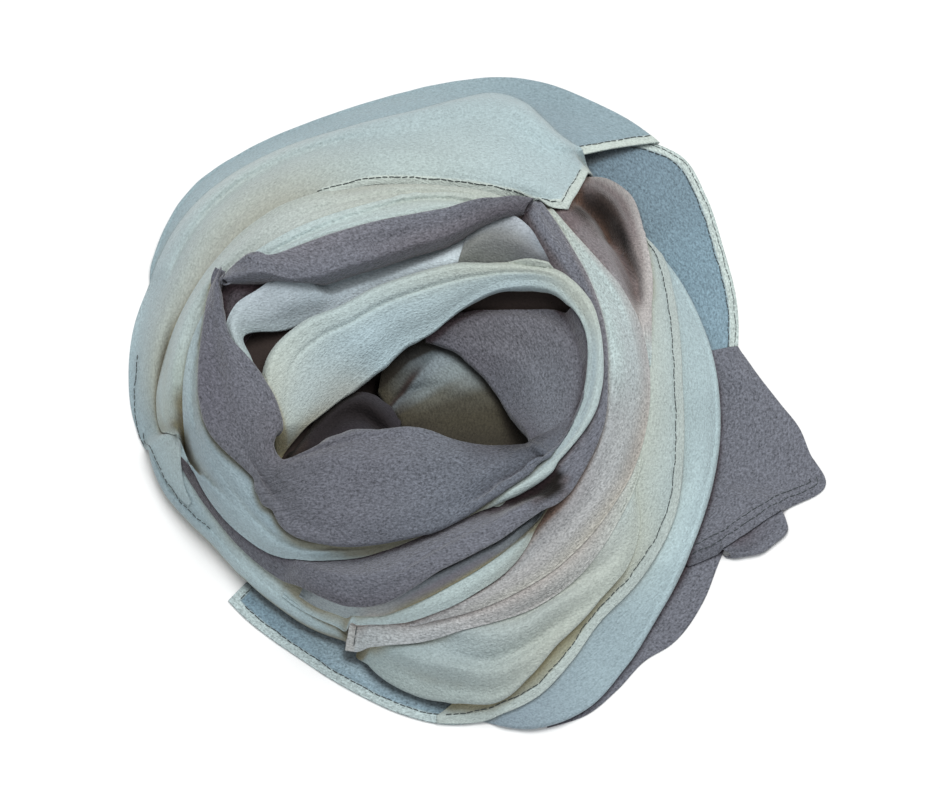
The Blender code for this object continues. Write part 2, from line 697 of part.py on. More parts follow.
def press_heap(heaped):
    """Press the heap's top down until it is clear of every stretch over it."""
    tree = heaped.tree()
    grid = settle(heap_grid(), tree, -1)
    for _ in range(3):
        top = grid[:-1, :, 2]
        around = (np.roll(top, 1, 0) + np.roll(top, -1, 0)) / 2
        top[:] = np.minimum(top, (top + around) / 2)
        top[:, 1:-1] = np.minimum(top[:, 1:-1], (top[:, :-2] + top[:, 2:]) / 2 + SAG)
        top[:, :2] = top[:, :2].min()
    for _ in range(60):
        grid[-1] = grid[0]
        grid[:, :, 2] = np.maximum(grid[:, :, 2], FLOOR + 0.3)
        shape = heap_shape(grid)
        meeting = BVHTree.FromBMesh(shape).overlap(tree)
        if not meeting:
            return shape
        shape.faces.ensure_lookup_table()
        touched = {vert.index for pair in meeting for vert in shape.faces[pair[0]].verts}
        rings = grid.shape[1]
        for index in touched:
            if index < HEAP_TURNS * rings:
                grid[index // rings, index % rings, 2] -= GAP
        shape.free()
    return heap_shape(grid)


def main():
    clear_scene()
    collection = bpy.data.collections.new("chiffon_scarf")
    bpy.context.scene.collection.children.link(collection)
    heaped = lay_stretches(collection)
    add_shape("heap", press_heap(heaped), CREAM, collection)


main()
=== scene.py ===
"""A chiffon scarf wound into a nest, dressed over its CAD solids, in metres with +Z up.

Every stretch of cloth is worked out in millimetres about the nest's middle. A clock angle is in
degrees about that middle, 0 at the right, 90 at the rear and 270 at the front.
"""
import json
import math

import bpy
import numpy as np
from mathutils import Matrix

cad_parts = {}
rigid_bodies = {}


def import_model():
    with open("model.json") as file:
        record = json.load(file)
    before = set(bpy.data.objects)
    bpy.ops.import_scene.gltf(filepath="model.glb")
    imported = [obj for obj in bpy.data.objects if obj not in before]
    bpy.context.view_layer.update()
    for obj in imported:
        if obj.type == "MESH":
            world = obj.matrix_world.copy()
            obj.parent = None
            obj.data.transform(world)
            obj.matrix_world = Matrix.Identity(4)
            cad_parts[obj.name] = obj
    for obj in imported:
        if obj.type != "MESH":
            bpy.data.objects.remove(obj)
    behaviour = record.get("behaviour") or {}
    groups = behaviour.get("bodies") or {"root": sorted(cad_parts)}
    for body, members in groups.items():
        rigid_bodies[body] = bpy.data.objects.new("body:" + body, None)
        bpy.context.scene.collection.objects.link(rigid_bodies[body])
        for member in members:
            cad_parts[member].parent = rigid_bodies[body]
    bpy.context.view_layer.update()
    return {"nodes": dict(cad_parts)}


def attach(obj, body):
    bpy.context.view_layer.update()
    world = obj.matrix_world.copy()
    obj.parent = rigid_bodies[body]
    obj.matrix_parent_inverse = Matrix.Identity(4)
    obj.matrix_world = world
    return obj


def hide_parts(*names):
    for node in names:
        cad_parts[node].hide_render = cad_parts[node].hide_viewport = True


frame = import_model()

# ----------------------------------------------------------------------
# The inner layers: the crumpled turns of cloth inside the nest, which show only in the gaps between the
# outer stretches and are painted umber there, a painted deep shade. They are one soft heap, and every
# stretch is laid on it in turn.

MM = 0.001
MIDDLE_X, MIDDLE_Y = 30.9, 12.2  # the middle of the scarf's box, seen from the nest's middle
CLOTH = 0.5  # thickness of the chiffon with its crepe
CELL = 1.0  # side of a cell in the height fields
LEFT, FRONT = -165.0, -185.0  # lowest corner of the height fields
COLUMNS, ROWS = 392, 392
FAN = 30  # points along each side of a triangle when a node's height is read

MINT = (0.41, 0.52, 0.545)
PALE = (0.44, 0.53, 0.53)
CREAM = (0.45, 0.50, 0.455)
BEIGE = (0.42, 0.40, 0.36)
ROSE = (0.37, 0.375, 0.385)
MAUVE = (0.145, 0.152, 0.180)
# Plum is mauve darkened with painted shade, for folds and corners that lie in shade.
SHADED_MAUVE = (0.075, 0.062, 0.075)
SLATE = (0.185, 0.275, 0.335)
# Olive is a painted shade: the warm dark of a crevice between folds.
OLIVE_SHADE = (0.21, 0.195, 0.125)
# Umber is a painted shade, near black, for cloth that lies deep in shade in hollows and gaps.
UMBER_SHADE = (0.035, 0.025, 0.022)


def read_rows(rows, places):
    """A smooth curve through rows of values: cubic pieces whose slopes are the rows' own
    gradients. places are shares of the way along the rows' outer ends. A row is a clock angle,
    an inner and an outer radius and, where it isn't 0, how far its outer end is turned."""
    table = np.array([(*row, 0)[:4] for row in rows], float)
    turn = np.radians(table[:, 0] + table[:, 3])
    steps = np.hypot(np.diff(table[:, 2] * np.cos(turn)), np.diff(table[:, 2] * np.sin(turn)))
    knots = np.concatenate([[0], np.cumsum(steps)])
    places = np.asarray(places) * knots[-1]
    slopes = np.gradient(table, knots, axis=0)
    index = np.clip(np.searchsorted(knots, places, side="right") - 1, 0, len(knots) - 2)
    step = (knots[index + 1] - knots[index])[:, None]
    u = (places - knots[index])[:, None] / step
    start = table[index] * (2 * u**3 - 3 * u**2 + 1) + slopes[index] * step * (u**3 - 2 * u**2 + u)
    end = table[index + 1] * (3 * u**2 - 2 * u**3) + slopes[index + 1] * step * (u**3 - u**2)
    return start + end


def neighbours(values, axis):
    """Each value's two neighbours along the axis; past an end, the end's own value."""
    before = np.concatenate([values.take([0], axis), values], axis)
    after = np.concatenate([values, values.take([-1], axis)], axis)
    count = values.shape[axis]
    return before.take(range(count), axis), after.take(range(1, count + 1), axis)


def blur(values, steps, axes=(0, 1)):
    """Each value becomes a quarter of its two neighbours and half of itself, so many times."""
    for _ in range(steps):
        for axis in axes:
            before, after = neighbours(values, axis)
            values = values / 2 + (before + after) / 4
    return values


def widen(values, steps):
    """Each value becomes the highest of itself and its neighbours, so many times."""
    for _ in range(steps):
        for axis in (0, 1):
            values = np.maximum(values, np.maximum(*neighbours(values, axis)))
    return values


def read_field(field, x, y):
    """The height field at points: the four cells round each point, weighted by nearness."""
    across = np.clip((x - LEFT) / CELL, 0, COLUMNS - 1.001)
    along = np.clip((y - FRONT) / CELL, 0, ROWS - 1.001)
    i = across.astype(int)
    j = along.astype(int)
    a = across - i
    b = along - j
    near = field[i, j] * (1 - b) + field[i, j + 1] * b
    far = field[i + 1, j] * (1 - b) + field[i + 1, j + 1] * b
    return near * (1 - a) + far * a


def raise_field(field, points):
    """Lift the field's cells to the points that fall in them."""
    i = np.clip(((points[..., 0] - LEFT) / CELL + 0.5).astype(int), 0, COLUMNS - 1)
    j = np.clip(((points[..., 1] - FRONT) / CELL + 0.5).astype(int), 0, ROWS - 1)
    np.maximum.at(field, (i, j), points[..., 2])


def finer(grid, times):
    """The grid with straight steps between its points, so many to each."""
    for axis in (0, 1):
        places = np.linspace(0, grid.shape[axis] - 1, (grid.shape[axis] - 1) * times + 1)
        low = np.minimum(places.astype(int), grid.shape[axis] - 2)
        shape = [1, 1, 1]
        shape[axis] = -1
        part = (places - low).reshape(shape)
        grid = grid.take(low, axis) * (1 - part) + grid.take(low + 1, axis) * part
    return grid


def points_of(mesh):
    """A mesh's points in millimetres about the nest's middle."""
    points = np.empty(len(mesh.vertices) * 3)
    mesh.vertices.foreach_get("co", points)
    return points.reshape(-1, 3) / MM + (MIDDLE_X, MIDDLE_Y, 0)


def node_top(name, spread=26, soften=4):
    """Height field of a CAD node's top: every triangle is covered with a fan of points, the
    highest in each cell counts, cells round it take their neighbours' mean, and all is softened."""
    mesh = frame["nodes"][name].data
    mesh.calc_loop_triangles()
    corners = np.empty(len(mesh.loop_triangles) * 3, int)
    mesh.loop_triangles.foreach_get("vertices", corners)
    triangles = points_of(mesh)[corners].reshape(-1, 3, 3)
    steps = np.linspace(0, 1, FAN)
    a, b = (value.ravel() for value in np.meshgrid(steps, steps))
    inside = a + b <= 1
    weights = np.stack([1 - a - b, a, b], axis=1)[inside]
    field = np.full((COLUMNS, ROWS), -1.0)
    raise_field(field, np.einsum("kc,tcd->tkd", weights, triangles))
    known = (field >= 0).astype(float)
    heights = np.where(known > 0, field, 0.0)
    for _ in range(spread):
        total = blur(heights * known, 1)
        count = blur(known, 1)
        heights = np.where(known > 0, heights, total / np.maximum(count, 1e-9))
        known = (count > 1e-6).astype(float)
        heights = heights * known
    return blur(heights, soften)


def sway(x, y, size, length, seed):
    """A gentle unevenness: six waves of about this length, each in its own direction."""
    random = np.random.default_rng(seed)
    total = np.zeros_like(x)
    for _ in range(6):
        angle = random.uniform(0, math.pi)
        wave = length * random.uniform(0.7, 1.6)
        phase = random.uniform(0, 2 * math.pi)
        total += np.sin(2 * math.pi * (x * math.cos(angle) + y * math.sin(angle)) / wave + phase)
    return size * total / 3


def add_mesh(name, points, faces, material):
    """A smooth mesh object from points in millimetres about the nest's middle."""
    mesh = bpy.data.meshes.new(name)
    mesh.from_pydata((points - (MIDDLE_X, MIDDLE_Y, 0)) * MM, [], faces)
    mesh.materials.append(material)
    mesh.shade_smooth()
    piece = bpy.data.objects.new(name, mesh)
    bpy.context.scene.collection.objects.link(piece)
    return piece


def add_cloth(name, points, faces, place, colours, material):
    """A mesh object with what its chiffon reads: the UV map, the dye with its painted light and shade,
    and the share of painted crease shade, still 0.
    """
    piece = add_mesh(name, points, faces, material)
    mesh = piece.data
    corners = np.empty(len(mesh.loops), int)
    mesh.loops.foreach_get("vertex_index", corners)
    mesh.uv_layers.new(name="Cloth").data.foreach_set("uv", (place * MM)[corners].ravel())
    dye = np.ones((len(points), 4))
    dye[:, :3] = colours
    mesh.color_attributes.new("DyeLightAndShade", "FLOAT_COLOR", "POINT").data.foreach_set("color", dye.ravel())
    mesh.attributes.new("Crease", "FLOAT", "POINT")
    return piece


def closed_cloth(name, grid, colours, material, thickness):
    """A thin closed shell: the grid on top, the same grid moved back along its normals below,
    and a strip round the rim that joins the two. The UV map holds the lengths along and across."""
    along, across = grid.shape[:2]
    normal = np.cross(np.gradient(grid, axis=1), np.gradient(grid, axis=0))
    normal /= np.linalg.norm(normal, axis=2, keepdims=True) + 1e-9
    if np.median(normal[:, across // 2, 2]) < 0:
        normal = -normal
    back = grid - normal * thickness
    count = along * across
    index = np.arange(count).reshape(along, across)
    quads = np.stack([index[:-1, :-1], index[1:, :-1], index[1:, 1:], index[:-1, 1:]], axis=-1)
    quads = quads.reshape(-1, 4)
    rim = np.concatenate([index[:, 0], index[-1, 1:], index[-2::-1, -1], index[0, -2:0:-1]])
    ahead = np.roll(rim, -1)
    strip = np.stack([rim, ahead, ahead + count, rim + count], axis=-1)
    facing = np.cross(grid[1, 0] - grid[0, 0], grid[0, 1] - grid[0, 0])
    if np.dot(facing, normal[0, 0]) < 0:
        quads = quads[:, ::-1]
        strip = strip[:, ::-1]
    faces = np.concatenate([quads, quads[:, ::-1] + count, strip[:, ::-1]])
    points = np.concatenate([grid.reshape(-1, 3), back.reshape(-1, 3)])
    u = np.cumsum(np.linalg.norm(np.diff(grid, axis=0, prepend=grid[:1]), axis=2), axis=0)
    v = np.cumsum(np.linalg.norm(np.diff(grid, axis=1, prepend=grid[:, :1]), axis=2), axis=1)
    place = np.stack([blur(u, 3), v], axis=-1).reshape(-1, 2)
    colours = colours.reshape(-1, 3)
    return add_cloth(
        name, points, faces.tolist(), np.concatenate([place] * 2), np.concatenate([colours] * 2), material
    )


def add_node(tree, kind, inputs=(), **settings):
    """A shader node. Each of its inputs is given a value, or the output that feeds it."""
    node = tree.nodes.new("ShaderNode" + kind)
    for name, value in settings.items():
        setattr(node, name, value)
    set_inputs(tree, node, inputs)
    return node


def set_inputs(tree, node, inputs):
    """Gives a node's inputs their values or links."""
    for name, value in dict(inputs).items():
        if isinstance(value, bpy.types.NodeSocket):
            tree.links.new(value, node.inputs[name])
        else:
            node.inputs[name].default_value = value


def crepe_group():
    """Crepe chiffon: crimped threads give fine pebbles and a faint weave, and the dye has taken a little
    unevenly. Deep in a crease the colour is mixed toward a painted crease shade, as far as the Crease
    attribute says."""
    group = bpy.data.node_groups.new("crepe chiffon", "ShaderNodeTree")
    for name, kind in (("Painted Crease Shade", "Color"), ("Pebble", "Float"), ("Streak", "Float")):
        group.interface.new_socket(name, in_out="INPUT", socket_type="NodeSocket" + kind)
    group.interface.new_socket("Colour", in_out="OUTPUT", socket_type="NodeSocketColor")
    group.interface.new_socket("Height", in_out="OUTPUT", socket_type="NodeSocketFloat")
    given = group.nodes.new("NodeGroupInput").outputs
    place = add_node(group, "TexCoord").outputs["Object"]
    cloth = add_node(group, "UVMap", uv_map="Cloth").outputs["UV"]

    def arithmetic(operation, *values):
        return add_node(group, "Math", enumerate(values), operation=operation).outputs[0]

    def noise(scale, vector=place):
        texture = add_node(group, "TexNoise", {"Scale": scale, "Detail": 2.0, "Vector": vector})
        return arithmetic("SUBTRACT", texture.outputs["Fac"], 0.5)

    stretched = add_node(group, "Mapping", {"Scale": (420, 950, 1), "Vector": cloth})
    coarse = noise(1.0, stretched.outputs["Vector"])
    pebbles = noise(900)
    clouds = noise(38)
    bands = {"Scale": 190, "Distortion": 14, "Detail": 3, "Detail Scale": 2, "Vector": cloth}
    threads = add_node(group, "TexWave", bands, bands_direction="DIAGONAL")
    weave = arithmetic("SUBTRACT", threads.outputs["Fac"], 0.5)
    grain = arithmetic("MULTIPLY", pebbles, given["Pebble"])
    grain = arithmetic("MULTIPLY_ADD", coarse, arithmetic("MULTIPLY", given["Pebble"], 0.9), grain)
    grain = arithmetic("MULTIPLY_ADD", weave, given["Streak"], grain)
    light = arithmetic("MULTIPLY_ADD", clouds, 0.16, arithmetic("ADD", grain, 1.0))
    crease = add_node(group, "Attribute", attribute_name="Crease").outputs["Fac"]
    dye = add_node(group, "Attribute", attribute_name="DyeLightAndShade").outputs["Color"]
    mixed = {"Factor": crease, "A": dye, "B": given["Painted Crease Shade"]}
    shade = add_node(group, "Mix", mixed, data_type="RGBA").outputs["Result"]
    mixed = {"Factor": 1.0, "A": shade, "B": light}
    lit = add_node(group, "Mix", mixed, data_type="RGBA", blend_type="MULTIPLY").outputs["Result"]
    height = arithmetic("MULTIPLY_ADD", coarse, 0.6, arithmetic("MULTIPLY_ADD", weave, 0.12, pebbles))
    result = group.nodes.new("NodeGroupOutput")
    set_inputs(group, result, {"Colour": lit, "Height": height})
    return group


crepe = crepe_group()
IN_SHADE = 0.06  # a colour darker than this stands for cloth in deep shade


def chiffon(name, painted_crease_shade, pebble, streak, roughness, sheen, bump):
    """A finished chiffon: the crepe group on a matt shader with a soft sheen, which is next to none where
    the cloth lies deep in shade. The crease colour given is the painted shade that its creases are mixed
    toward."""
    material = bpy.data.materials.new(name)
    material.use_nodes = True
    tree = material.node_tree
    grain = {"Painted Crease Shade": (*painted_crease_shade, 1), "Pebble": pebble, "Streak": streak}
    cloth = add_node(tree, "Group", grain, node_tree=crepe).outputs
    lit = {"Value": cloth["Colour"], "From Max": IN_SHADE, "To Min": 0.1 * sheen, "To Max": sheen}
    relief = {"Height": cloth["Height"], "Strength": bump, "Distance": 0.0006}
    finish = {
        "Base Color": cloth["Colour"],
        "Roughness": roughness,
        "Specular IOR Level": 0.25,
        "Sheen Weight": add_node(tree, "MapRange", lit).outputs["Result"],
        "Sheen Roughness": 0.45,
        "Normal": add_node(tree, "Bump", relief).outputs["Normal"],
    }
    set_inputs(tree, tree.nodes["Principled BSDF"], finish)
    return material


TURNS, RINGS = 240, 66  # points round the heap, and rings of them from the middle out
SUNK = 0.6  # how far the heap lies under its node's top
SETBACK = 1.5  # how far its foot stays inside the stretches that stand round it
FOOT_HEIGHT, FOOT_SLOPE = 1.0, 3.0  # its height at the foot, and how steeply it may rise there
BASE = 0.2  # height of its underside
HEAP_FOOT = [
    (0, 136), (45, 138), (65, 150), (110, 146), (150, 134), (180, 124), (210, 116), (225, 114),
    (245, 115), (270, 123), (290, 131), (310, 134), (330, 134),
]
heap_top = node_top("heap", spread=8)
turns = np.radians(np.arange(TURNS) * 360 / TURNS)[:, None]
rings = np.linspace(0.02, 1, RINGS)[None, :] ** 0.9
reach = np.interp(np.degrees(turns), *np.array(HEAP_FOOT, float).T, period=360) - SETBACK
x = reach * rings * np.cos(turns)
y = reach * rings * np.sin(turns)
z = read_field(heap_top, x, y) - SUNK + sway(x, y, 0.5, 24, 3)
z = np.clip(z, FOOT_HEIGHT, FOOT_HEIGHT + FOOT_SLOPE * (1 - rings) * reach)
top = np.stack([x, y, z], axis=-1)
base = top[:, ::-1] * (1, 1, 0) + (0, 0, BASE)
poles = [(0, 0, z[:, 0].mean()), (0, 0, BASE)]
points = np.concatenate([np.concatenate([top, base], axis=1).reshape(-1, 3), poles])
index = np.arange(TURNS * 2 * RINGS).reshape(TURNS, 2 * RINGS)
ahead = np.roll(index, -1, axis=0)
quads = np.stack([index[:, :-1], index[:, 1:], ahead[:, 1:], ahead[:, :-1]], axis=-1).reshape(-1, 4)
poles = np.full((2, TURNS), index.size) + [[0], [1]]
caps = np.stack([[index[:, 0], ahead[:, 0], poles[0]], [ahead[:, -1], index[:, -1], poles[1]]])
faces = quads.tolist() + caps.transpose(0, 2, 1).reshape(-1, 3).tolist()
inner_chiffon = chiffon("inner chiffon", UMBER_SHADE, 0.25, 0.1, 0.9, 0.1, 0.6)
inner_layers = add_cloth("inner_layers", points, faces, points[:, :2], UMBER_SHADE, inner_chiffon)
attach(inner_layers, "root")
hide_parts("heap")
laid = np.zeros((COLUMNS, ROWS))  # height of all that is laid so far
raise_field(laid, finer(np.concatenate([top, top[:1]]), 4))
laid = np.maximum(laid, blur(laid, 1))

# ----------------------------------------------------------------------
# The rear flap: the slate end of the panel, lying flat at the rear right. Its long edge is a
# rolled hem in the undyed cream, sewn with two lines of dark thread.

HEM = (0.54, 0.61, 0.57)
HEM_RISE = 0.5  # how much a hem stands up over the cloth beside it
AIR = 0.3  # gap under cloth that is pressed down
INSIDE = 0.3  # how far cloth starts out below its node's top
STEEPEST = (-1.3, 0.6)  # most that cloth may fall or rise toward its outer edge
FLATTENED = 0.8  # share of its thickness that cloth loses where it is pressed flat
TURN_SHARE = 0.3  # a fold's radius is at most this share of the width
DROP_SHARE = 0.45  # and its depth this
FLOOR_DROP = 16.0  # an edge at the surface turns down this far at most
UPRIGHT_DROP = 7  # an inner fold deeper than this hangs straight down
TURN_ANGLES = np.radians([16, 32, 50, 70, 92, 116, 142, 168])
TAIL = np.array([0.5, 1.2])  # the cloth goes on behind a fold, in radii
TURN_COLUMNS = len(TURN_ANGLES) + len(TAIL)
TIGHTEST = 0.35  # smallest radius and depth of a fold
FOLDED = ("fold", "floor")
# how far in from an edge the height of its node is read
EDGE_READ = {"fold": 7.0, "tuck": 0.8, "hem": 2.0, "melt": 2.0, "floor": 3.0}


def eased(t):
    """From 0 to 1 with a slow start and a slow end: 3 t^2 - 2 t^3."""
    return t * t * (3 - 2 * t)


def dye_light_and_shade(dyes, u, s):
    """Colours between the rows of dyes, which hold painted shade and painted light as well as the cloth's
    dye: a row's first value is its place along, and the others are colours at even steps across, or one
    for all. Both ways the colours pass smoothly."""
    places = np.array([row[0] for row in dyes], float)
    stops = np.array([row[1:] if len(row) > 2 else row[1:] * 2 for row in dyes], float)
    at = np.clip(np.interp(u, places, np.arange(len(dyes))), 0, len(dyes) - 1.001)
    low = at.astype(int)
    part = eased(at - low)[:, None, None]
    rows = stops[low] * (1 - part) + stops[np.minimum(low + 1, len(dyes) - 1)] * part
    last = stops.shape[1] - 1
    across = np.clip(s * last, 0, last - 0.001)
    j = across.astype(int)
    part = eased(across - j)[..., None]
    i = np.arange(len(u))[:, None]
    return rows[i, j] * (1 - part) + rows[i, j + 1] * part


def rim_of(grid, side, first=0.0, last=1.0):
    """The part of the grid's rim on this side, from first to last, seen from above."""
    rim = {"inner": grid[:, 0], "outer": grid[:, -1], "start": grid[0], "end": grid[-1]}[side]
    count = len(rim) - 1
    return rim[int(round(first * count)) : int(round(last * count)) + 1, :2]


def distance_to(points, line):
    """Shortest distance, seen from above, from each point to the points of a line."""
    apart = points[:, :, None, :2] - line[None, None]
    return np.sqrt((apart**2).sum(-1).min(-1))


def turned_under(grid, room, deep, upright):
    """A folded edge: from the last column the cloth goes on round half an ellipse,
    edge + r sin(a) outward - d (1 - cos(a)) up, and back a little way over what is below.
    An upright edge hangs straight down, however steep the cloth is."""
    level = (1, 1, 0) if upright else (1, 1, 1)
    edge = grid[:, -1]
    outward = blur(edge - grid[:, -3], 4, (0,)) * level
    outward /= np.linalg.norm(outward, axis=1, keepdims=True)
    ahead = np.gradient(blur(edge, 3, (0,)), axis=0) * level
    up = np.cross(outward, ahead)
    up /= np.linalg.norm(up, axis=1, keepdims=True)
    up *= np.sign(up[:, 2:])
    below = read_field(laid, edge[:, 0], edge[:, 1])
    clear = (edge[:, 2] - below - 1.5 * CLOTH) * up[:, 2] / 2
    radius = blur(np.clip(clear, TIGHTEST, room), 6, (0,))[:, None, None]
    drop = blur(np.clip(clear, TIGHTEST, np.maximum(room, deep)), 6, (0,))[:, None, None]
    angle = TURN_ANGLES[None, :, None]
    turned = edge[:, None] + radius * np.sin(angle) * outward[:, None]
    turned = turned - drop * (1 - np.cos(angle)) * up[:, None]
    back = np.cos(angle[:, -1:]) * outward[:, None] - np.sin(angle[:, -1:]) * up[:, None]
    tail = turned[:, -1:] + back * radius * TAIL[None, :, None]
    turned = np.concatenate([turned, tail], axis=1)
    floor = read_field(laid, turned[..., 0], turned[..., 1]) + 1.2 * CLOTH
    turned[..., 2] = np.maximum(turned[..., 2], floor)
    return np.concatenate([grid, turned], axis=1)


def lay_cloth(
    name, node, rows, dyes, material, edges=("tuck", "fold"), room=2.2, deep=3.0,
    along=200, across=36, hems=(), hem_band=4.5, hem_colour=HEM, rest=12.0, ends=(0, 0),
    press=((0, 0),), creases=(), puff=0.0, wave=(0.35, 36), seed=1, centre=(0, 0),
):
    """Lays one stretch of cloth over its CAD node and on what is laid already, and returns the
    grid of its points.

    The rows are what read_rows takes. The cloth's height is the node's own, carried straight on
    to the edges, puffed up in the middle and a little wavy. Each crease is a soft ridge or
    trough: place across at its start and end, place along at its start and end, height and half
    width, a bell across and a half wave along. Pressed edges and the ends lie down on what is
    below, and the cloth is eased up off whatever it meets. Then its folded edges are turned
    under, room wide and deep at most, and its hems are made double."""
    u = np.linspace(0, 1, along + 1)
    degrees, inner, outer, lean = (column[:, None] for column in read_rows(rows, u).T)
    width = np.maximum(outer - inner, 1.0)
    room = np.minimum(room, TURN_SHARE * width)
    start = inner + (room if edges[0] in FOLDED else 0)
    stop = outer - (room if edges[1] in FOLDED else 0)
    even = np.linspace(0, 1, across + 1)[None, :]
    s = 0.5 * even + 0.25 - 0.25 * np.cos(math.pi * even)
    radius = start + (stop - start) * s
    clock = np.radians(degrees + lean * s)
    x = centre[0] + radius * np.cos(clock)
    y = centre[1] + radius * np.sin(clock)
    top = node_top(node)

    def height_at(distance):
        beside = centre[0] + distance * np.cos(clock)
        return read_field(top, beside, centre[1] + distance * np.sin(clock))

    slope = (height_at(inner + 0.75 * width) - height_at(inner + 0.25 * width)) / (0.5 * width)
    slope = blur(np.clip(slope, *STEEPEST), 6, (0,))
    low = inner + np.minimum(EDGE_READ[edges[0]], 0.42 * width)
    high = outer - np.minimum(EDGE_READ[edges[1]], 0.42 * width)
    place = np.clip(radius, low, high)
    z = blur(height_at(place) + slope * (radius - place) - INSIDE, 4)
    z += puff * 4 * s * (1 - s) + sway(x, y, *wave, seed)
    for s_0, s_1, u_0, u_1, rise, half in creases:
        t = np.clip((u[:, None] - u_0) / (u_1 - u_0), 0, 1)
        ridge = s_0 + (s_1 - s_0) * t
        z += rise * np.sin(math.pi * t) ** 0.8 * np.exp(-(((s - ridge) * width / half) ** 2))
    turn = np.radians(degrees)
    steps = np.hypot(np.diff(outer * np.cos(turn), axis=0), np.diff(outer * np.sin(turn), axis=0))
    run = np.concatenate([[[0]], np.cumsum(steps, axis=0)])
    melt = np.zeros_like(run)
    for length, distance in zip(ends, (run, run[-1] - run)):
        if length:
            melt = np.maximum(melt, np.clip(1 - distance / length, 0, 1))
    pressed = np.interp(u, *np.array(press, float).T)[:, None]
    pressed = pressed * np.clip(1 - (1 - s) * (stop - start) / rest, 0, 1) ** 1.5
    melt = np.maximum(eased(melt), np.clip((pressed - 0.5) / 0.45, 0, 1))
    thickness = CLOTH * (1 - FLATTENED * melt)
    under = read_field(laid, x, y) + thickness
    bed = blur(under, 2)
    for edge, distance in zip(edges, (s * (stop - start), (1 - s) * (stop - start))):
        if edge in ("hem", "melt"):
            ease = np.clip(1 - distance / rest, 0, 1) ** 2
            z = z * (1 - ease) + (bed + AIR) * ease
    z = z * (1 - pressed) + (bed + AIR) * pressed
    z = z * (1 - melt) + (bed + 0.1) * melt
    lift = np.maximum(under + 0.2 * (1 - melt) - z, 0)
    z += blur(widen(lift, 2), 3)
    grid = np.stack([x, y, np.maximum(z, under + 0.1)], axis=-1)
    band = np.zeros_like(z)
    for hem in hems:
        distance = distance_to(grid, rim_of(grid, *hem))
        band = np.maximum(band, np.clip((hem_band - distance) / 0.7 + 0.5, 0, 1))
    grid[..., 2] += HEM_RISE * band
    colours = dye_light_and_shade(dyes, u, s) * (1 - band[..., None]) + np.array(hem_colour) * band[..., None]
    flat_length = np.linalg.norm(np.diff(grid, axis=0), axis=2).sum(0).max() + 1
    room = room[:, 0]
    most = np.minimum(deep, DROP_SHARE * width[:, 0])
    if edges[1] == "floor":
        grid = turned_under(grid, room, FLOOR_DROP, True)
    if edges[1] == "fold":
        grid = turned_under(grid, room, most, False)
    if edges[0] == "fold":
        grid = turned_under(grid[:, ::-1], room, most, deep > UPRIGHT_DROP)[:, ::-1]
    added = [TURN_COLUMNS if edge in FOLDED else 0 for edge in edges]
    colours = np.pad(colours, ((0, 0), added, (0, 0)), mode="edge")
    thickness = np.pad(thickness + HEM_RISE * band, ((0, 0), added), mode="edge")
    piece = closed_cloth(name, grid, colours, material, thickness[..., None])
    raise_field(laid, finer(grid, 3))
    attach(piece, "root")
    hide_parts(node)
    steps = np.linalg.norm(np.diff(grid, axis=1), axis=2).sum(1)
    area = (steps[:-1] * np.linalg.norm(np.diff(grid[:, across // 2], axis=0), axis=1)).sum()
    flat = (round(steps.max() * MM, 3) + 0.001, round(flat_length * MM, 3) + 0.001)
    area = min(max(area * MM * MM, 0.31 * flat[0] * flat[1]), flat[0] * flat[1])
    return grid


def mottled(name, scale, darker, lighter, finish):
    """A plain material whose colour wanders between two with a noise of this scale."""
    material = bpy.data.materials.new(name)
    material.use_nodes = True
    tree = material.node_tree
    place = add_node(tree, "TexCoord").outputs["Object"]
    noise = add_node(tree, "TexNoise", {"Scale": scale, "Vector": place}).outputs["Fac"]
    ramp = add_node(tree, "ValToRGB", {"Fac": noise})
    ramp.color_ramp.elements[0].color = (*darker, 1)
    ramp.color_ramp.elements[1].color = (*lighter, 1)
    shader = tree.nodes["Principled BSDF"]
    set_inputs(tree, shader, {"Base Color": ramp.outputs["Color"], **finish})
    return material


thread_finish = {"Roughness": 0.6, "Sheen Weight": 0.2}
dark_thread = mottled("dark thread", 2500, (0.010, 0.016, 0.017), (0.045, 0.065, 0.068), thread_finish)


def inset(line, distance):
    """The line moved sideways by this distance: each point goes along the line's own normal."""
    line = blur(np.asarray(line, float), 2, (0,))
    ahead = np.gradient(line, axis=0)
    ahead /= np.linalg.norm(ahead, axis=1, keepdims=True) + 1e-9
    return line + distance * np.stack([-ahead[:, 1], ahead[:, 0]], axis=1)


def clock_line(rows):
    """A smooth line through given rows of clock angle and radius, seen from above."""
    read = read_rows([(degrees, 0, radius) for degrees, radius in rows], np.linspace(0, 1, 90))
    turn = np.radians(read[:, 0])
    return np.stack([read[:, 2] * np.cos(turn), read[:, 2] * np.sin(turn)], axis=1)


SIDES = 5  # of a stitch's strand
SWELL = np.array([0.45, 1, 1, 1, 0.45])  # its thickness from end to end
RINGS_AT = np.array([0, 0.12, 0.5, 0.88, 1.0])  # where along it each ring of points is
END_LIFT, ARCH = 0.1, 0.16  # how far its ends stand off the cloth, and its middle beyond that
WANDER = 0.3  # how far the row strays from its line


